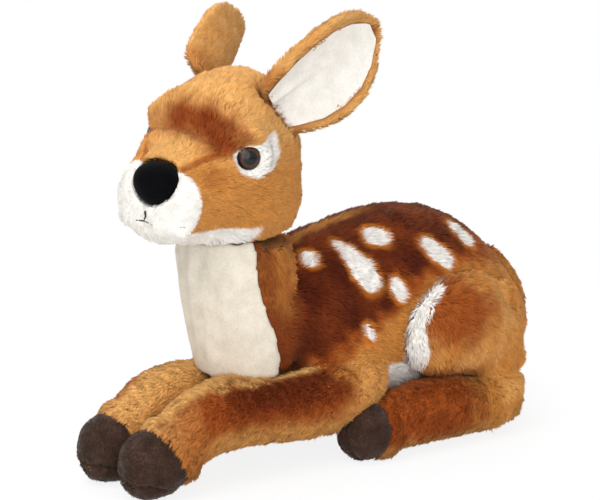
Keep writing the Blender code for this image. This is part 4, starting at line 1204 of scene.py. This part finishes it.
def growPile(name, cloth, keep, seed):
    # every fibre bundle: its points, its shading normals and its colour
    pile = piles[name]
    rng = np.random.default_rng(seed)
    root, normal = scatterRoots(name, cloth.data, keep, rng)
    count = len(root)
    flow = pile["flow"](root, normal)
    flow = unit(flow - normal * dot(flow, normal))
    beside = np.cross(normal, flow)
    wide, fine, single = bundle["wander"]
    sway = wide * mottle(root, 0.020, 20) + fine * mottle(root, 0.006, 21)
    flow = unit(flow + beside * (sway + rng.normal(0, single, count))[:, None])
    lift = np.radians(pile["lift"]) * (1 + 0.28 * mottle(root, 0.009, 22) +
                                       rng.normal(0, 0.16, count))
    length = pile["length"] * mm * rng.uniform(0.75, 1.15, count)
    if name in lengthRules:
        length = length * lengthRules[name](root)
    steep = (lift * bundle["lowerSteep"])[:, None]
    flat = (lift * bundle["upperSteep"])[:, None]
    rise = flow * np.cos(steep) + normal * np.sin(steep)
    lay = flow * np.cos(flat) + normal * np.sin(flat)
    middle = root + rise * length[:, None] * bundle["lower"]
    tip = middle + lay * length[:, None] * bundle["upper"]
    # bundles lean together into small tufts
    pull = np.stack([mottle(root, 0.006, 23 + i) for i in range(3)], 1)
    pull = pull * length[:, None] * bundle["lean"]
    tip = tip + pull - normal * dot(pull, normal)
    width = (pile["width"] * mm * rng.uniform(0.7, 1.25, count))[:, None]
    across = unit(np.cross(lay, normal))
    points = np.stack([root - normal * bundle["depth"] * mm, middle - across * width / 2,
                       middle + across * width / 2, tip], 1)
    # no tip goes through the floor
    points[:, :, 2] = np.maximum(points[:, :, 2], 0.0004)
    facing = unit(normal + rng.normal(0, 0.13, (count, 3)))
    shade = np.stack([facing, unit(facing - across * 0.3), unit(facing + across * 0.3),
                      unit(facing + lay * 0.2)], 1)
    colour = np.ones((count, 4, 4), np.float32)
    spread = 1 + 0.04 * rng.normal(0, 1, (count, 1))
    atMiddle = np.clip(pile["coat"](middle, normal) * spread, 0, 1)
    atTip = np.clip(pile["coat"](tip, normal) * spread, 0, 1)
    colour[:, 0, :3] = colour[:, 1, :3] = colour[:, 2, :3] = atMiddle
    colour[:, 3, :3] = atTip
    # white pile scatters light, so it gets less painted root shade, and its strands differ less
    pale = whiteShare(colour[:, :, :3])
    along = np.tile(np.array([0.0, 0.5, 0.5, 1.0], np.float32), (count, 1))
    along = along + (0.75 - along) * 0.5 * pale
    tone = np.repeat(rng.random((count, 1)), 4, 1)
    tone = tone + (0.6 - tone) * 0.6 * pale
    order = np.argsort(root[:, 1], kind="stable")
    return [column[order] for column in (points, shade, colour, along, tone)]


# a bundle is a thin bent leaf: root, left, right and tip; its upper faces use one half of
# its cell in the map and its lower faces the other
bundleFaces = np.array([(0, 2, 1), (1, 2, 3), (0, 1, 3), (0, 3, 2)])
bundleMap = np.array([[(0.25, 0.08), (0.42, 0.5), (0.08, 0.5)],
                      [(0.08, 0.5), (0.42, 0.5), (0.25, 0.92)],
                      [(0.75, 0.08), (0.58, 0.5), (0.75, 0.92)],
                      [(0.75, 0.08), (0.75, 0.92), (0.92, 0.5)]])


def meshPile(name, columns):
    points, shade, colour, along, tone = columns
    count = len(points)
    mesh = bpy.data.meshes.new(name)
    mesh.vertices.add(count * 4)
    mesh.vertices.foreach_set("co", points.astype(np.float32).ravel())
    corners = (np.arange(count)[:, None, None] * 4 + bundleFaces[None]).reshape(-1)
    mesh.loops.add(len(corners))
    mesh.loops.foreach_set("vertex_index", corners.astype(np.int32))
    mesh.polygons.add(count * 4)
    mesh.polygons.foreach_set("loop_start", np.arange(0, len(corners), 3, dtype=np.int32))
    mesh.update(calc_edges=True)
    mesh.shade_smooth()
    mesh.normals_split_custom_set_from_vertices(shade.reshape(-1, 3).astype(np.float32))
    addValues(mesh, "coat", "FLOAT_COLOR", "color", colour)
    addValues(mesh, "along", "FLOAT", "value", along)
    addValues(mesh, "strand", "FLOAT", "value", tone)
    cells = math.ceil(math.sqrt(count))
    cell = np.stack([np.arange(count) % cells, np.arange(count) // cells], 1)
    spots = (cell[:, None, None, :] + bundleMap[None]) / cells
    mesh.uv_layers.new(name="OFBake").data.foreach_set("uv", spots.astype(np.float32).ravel())
    mesh.materials.append(pileMaterial)
    item = bpy.data.objects.new(name, mesh)
    bpy.context.scene.collection.objects.link(item)
    return item


def hang(item, name):
    # the piece rides on its form's body, or stays fixed where the form only lists a bend
    form = forms[name]
    if "rides" in form:
        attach(item, form["rides"])
    else:
        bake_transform(item)


# each part of a long pile holds at most this many bundles
mostBundles = 48000
clothMaterials = {"cream_plush": bibMaterial, "hoof_velour": hoofMaterial}
shownFaces = facesInTheOpen()
print("stage: hidden faces found")
bundleTotals = {}
for number, (name, cloth) in enumerate(cloths.items()):
    cloth.data.materials.append(clothMaterials.get(forms[name]["slot"], pileMaterial))
    columns = None
    if name in piles:
        dyeCloth(name, cloth)
        columns = growPile(name, cloth, shownFaces[name], 40 + number)
    hang(cloth, name)
    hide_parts(*forms[name]["nodes"])
    if columns is None:
        continue
    total = len(columns[0])
    bundleTotals[name] = total
    parts = math.ceil(total / mostBundles)
    for part in range(parts):
        chosen = slice(part * total // parts, (part + 1) * total // parts)
        label = name + "_pile" + ("_%d" % (part + 1) if parts > 1 else "")
        hang(meshPile(label, [column[chosen] for column in columns]), name)
print("stage: pile grown,", sum(bundleTotals.values()), "bundles", bundleTotals)


# ear linings

lining = {"rim": 5.0, "lift": 1.0, "wall": 1.0, "foldDepth": 3.6, "foldWidth": 2.4}


def makeLining(side):
    # white velour leaf laid in the hollow of the ear, with the fold it was sewn with
    bpy.ops.mesh.primitive_grid_add(x_subdivisions=44, y_subdivisions=60, size=2.0)
    leaf = bpy.context.object
    leaf.name = leaf.data.name = "ear_lining_velour_" + side
    flat = readVectors(leaf.data.vertices, "co")
    rim = lining["rim"]
    reach = rim * 0.6 + (flat[:, 1] + 1) / 2 * (earLength - rim * 1.6)
    half = earHalf(reach) - rim
    half = np.maximum(half, 1.0)
    across = flat[:, 0] * half
    hollow = -earCup * (across / (earWidth / 2)) ** 2 - lining["lift"]
    # a raised fold runs from one edge at the root up to the middle
    foldAt = -half * 0.55 + reach / earLength * 22
    fold = lining["foldDepth"] * hill(across - foldAt, lining["foldWidth"]) * \
        ease(reach, 66, 40) * (0.6 + 0.4 * np.sin(reach / 9))
    beside = hill(across - foldAt - 5, 4.0) * ease(reach, 60, 35)
    hollow = hollow - fold * 0.6 + beside * 0.3 + 0.35 * np.sin(across / 7 + reach / 11)
    hollow = hollow + curlEar(across, reach, side)
    spot = np.stack([across, hollow, reach], 1) * mm
    writePlaces(leaf, earRoots[side] + spot @ earAxes[side])
    applyModifier(leaf, "SOLIDIFY", thickness=lining["wall"] * mm, offset=0.0)
    applyModifier(leaf, "SUBSURF", levels=1, render_levels=1)
    makeActive(leaf)
    bpy.ops.object.mode_set(mode="EDIT")
    bpy.ops.mesh.select_all(action="SELECT")
    bpy.ops.mesh.normals_make_consistent(inside=False)
    bpy.ops.object.mode_set(mode="OBJECT")
    bpy.ops.object.shade_smooth()
    leaf.data.materials.append(liningMaterial)
    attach(leaf, "ear_" + side)
    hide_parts("ear_lining_" + side)


for side in sides:
    makeLining(side)
print("stage: ear linings")


# nose, eyes and mouth

eye = {"seat": (34.5, -40.0, 58.0), "bearing": 52.0, "elevation": 10.0, "sink": 3.5,
       "rise": 2.1, "radius": 7.4, "dome": 3.9, "back": 1.2}


def makeNose():
    bpy.ops.mesh.primitive_uv_sphere_add(segments=64, ring_count=40, radius=1.0)
    ball = bpy.context.object
    ball.name = ball.data.name = "nose_flocked"
    spot = readVectors(ball.data.vertices, "co")
    # wider above than below, and a little flat on top
    spot[:, 0] *= nose["width"] + nose["spread"] * spot[:, 2]
    spot[:, 2] = np.where(spot[:, 2] > 0, spot[:, 2] * nose["flatTop"], spot[:, 2])
    spot = spot * np.array(nose["half"]) + np.array(nose["middle"])
    writePlaces(ball, headOrigin + spot * mm @ headAxes)
    bpy.ops.object.shade_smooth()
    ball.data.materials.append(noseMaterial)
    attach(ball, "head")
    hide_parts("nose")


def makeEye(side):
    hand = sides[side]
    toward = np.array(direction(eye["bearing"] * hand, eye["elevation"]))
    seat = np.array(eye["seat"]) * [hand, 1, 1] + toward * (eye["rise"] - eye["sink"])
    bpy.ops.mesh.primitive_uv_sphere_add(segments=56, ring_count=36, radius=1.0)
    dome = bpy.context.object
    dome.name = dome.data.name = "eye_dome_" + side
    spot = readVectors(dome.data.vertices, "co")
    ring = np.hypot(spot[:, 0], spot[:, 1])
    tall = np.where(spot[:, 2] > 0, eye["dome"], eye["back"])
    spot = spot * np.array([eye["radius"], eye["radius"], 1])
    spot[:, 2] *= tall
    turned = np.array(Vector(toward @ headAxes).to_track_quat("Z", "Y").to_matrix())
    writePlaces(dome, headOrigin + seat * mm @ headAxes + (spot * mm) @ turned.T)
    addValues(dome.data, "ring", "FLOAT", "value", ring)
    bpy.ops.object.shade_smooth()
    dome.data.materials.append(eyeMaterial)
    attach(dome, "head")
    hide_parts("eye_" + side)


makeNose()
for side in sides:
    makeEye(side)
# the stitches and washers keep the solids' own mesh
keptNodes = {"philtrum_stitch": threadMaterial, "mouth_stitch": threadMaterial,
             "nose_washer": washerMaterial, "eye_washer_left": washerMaterial,
             "eye_washer_right": washerMaterial}
for node, made in keptNodes.items():
    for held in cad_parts[node].material_slots:
        held.material = made
print("stage: nose, eyes and mouth")
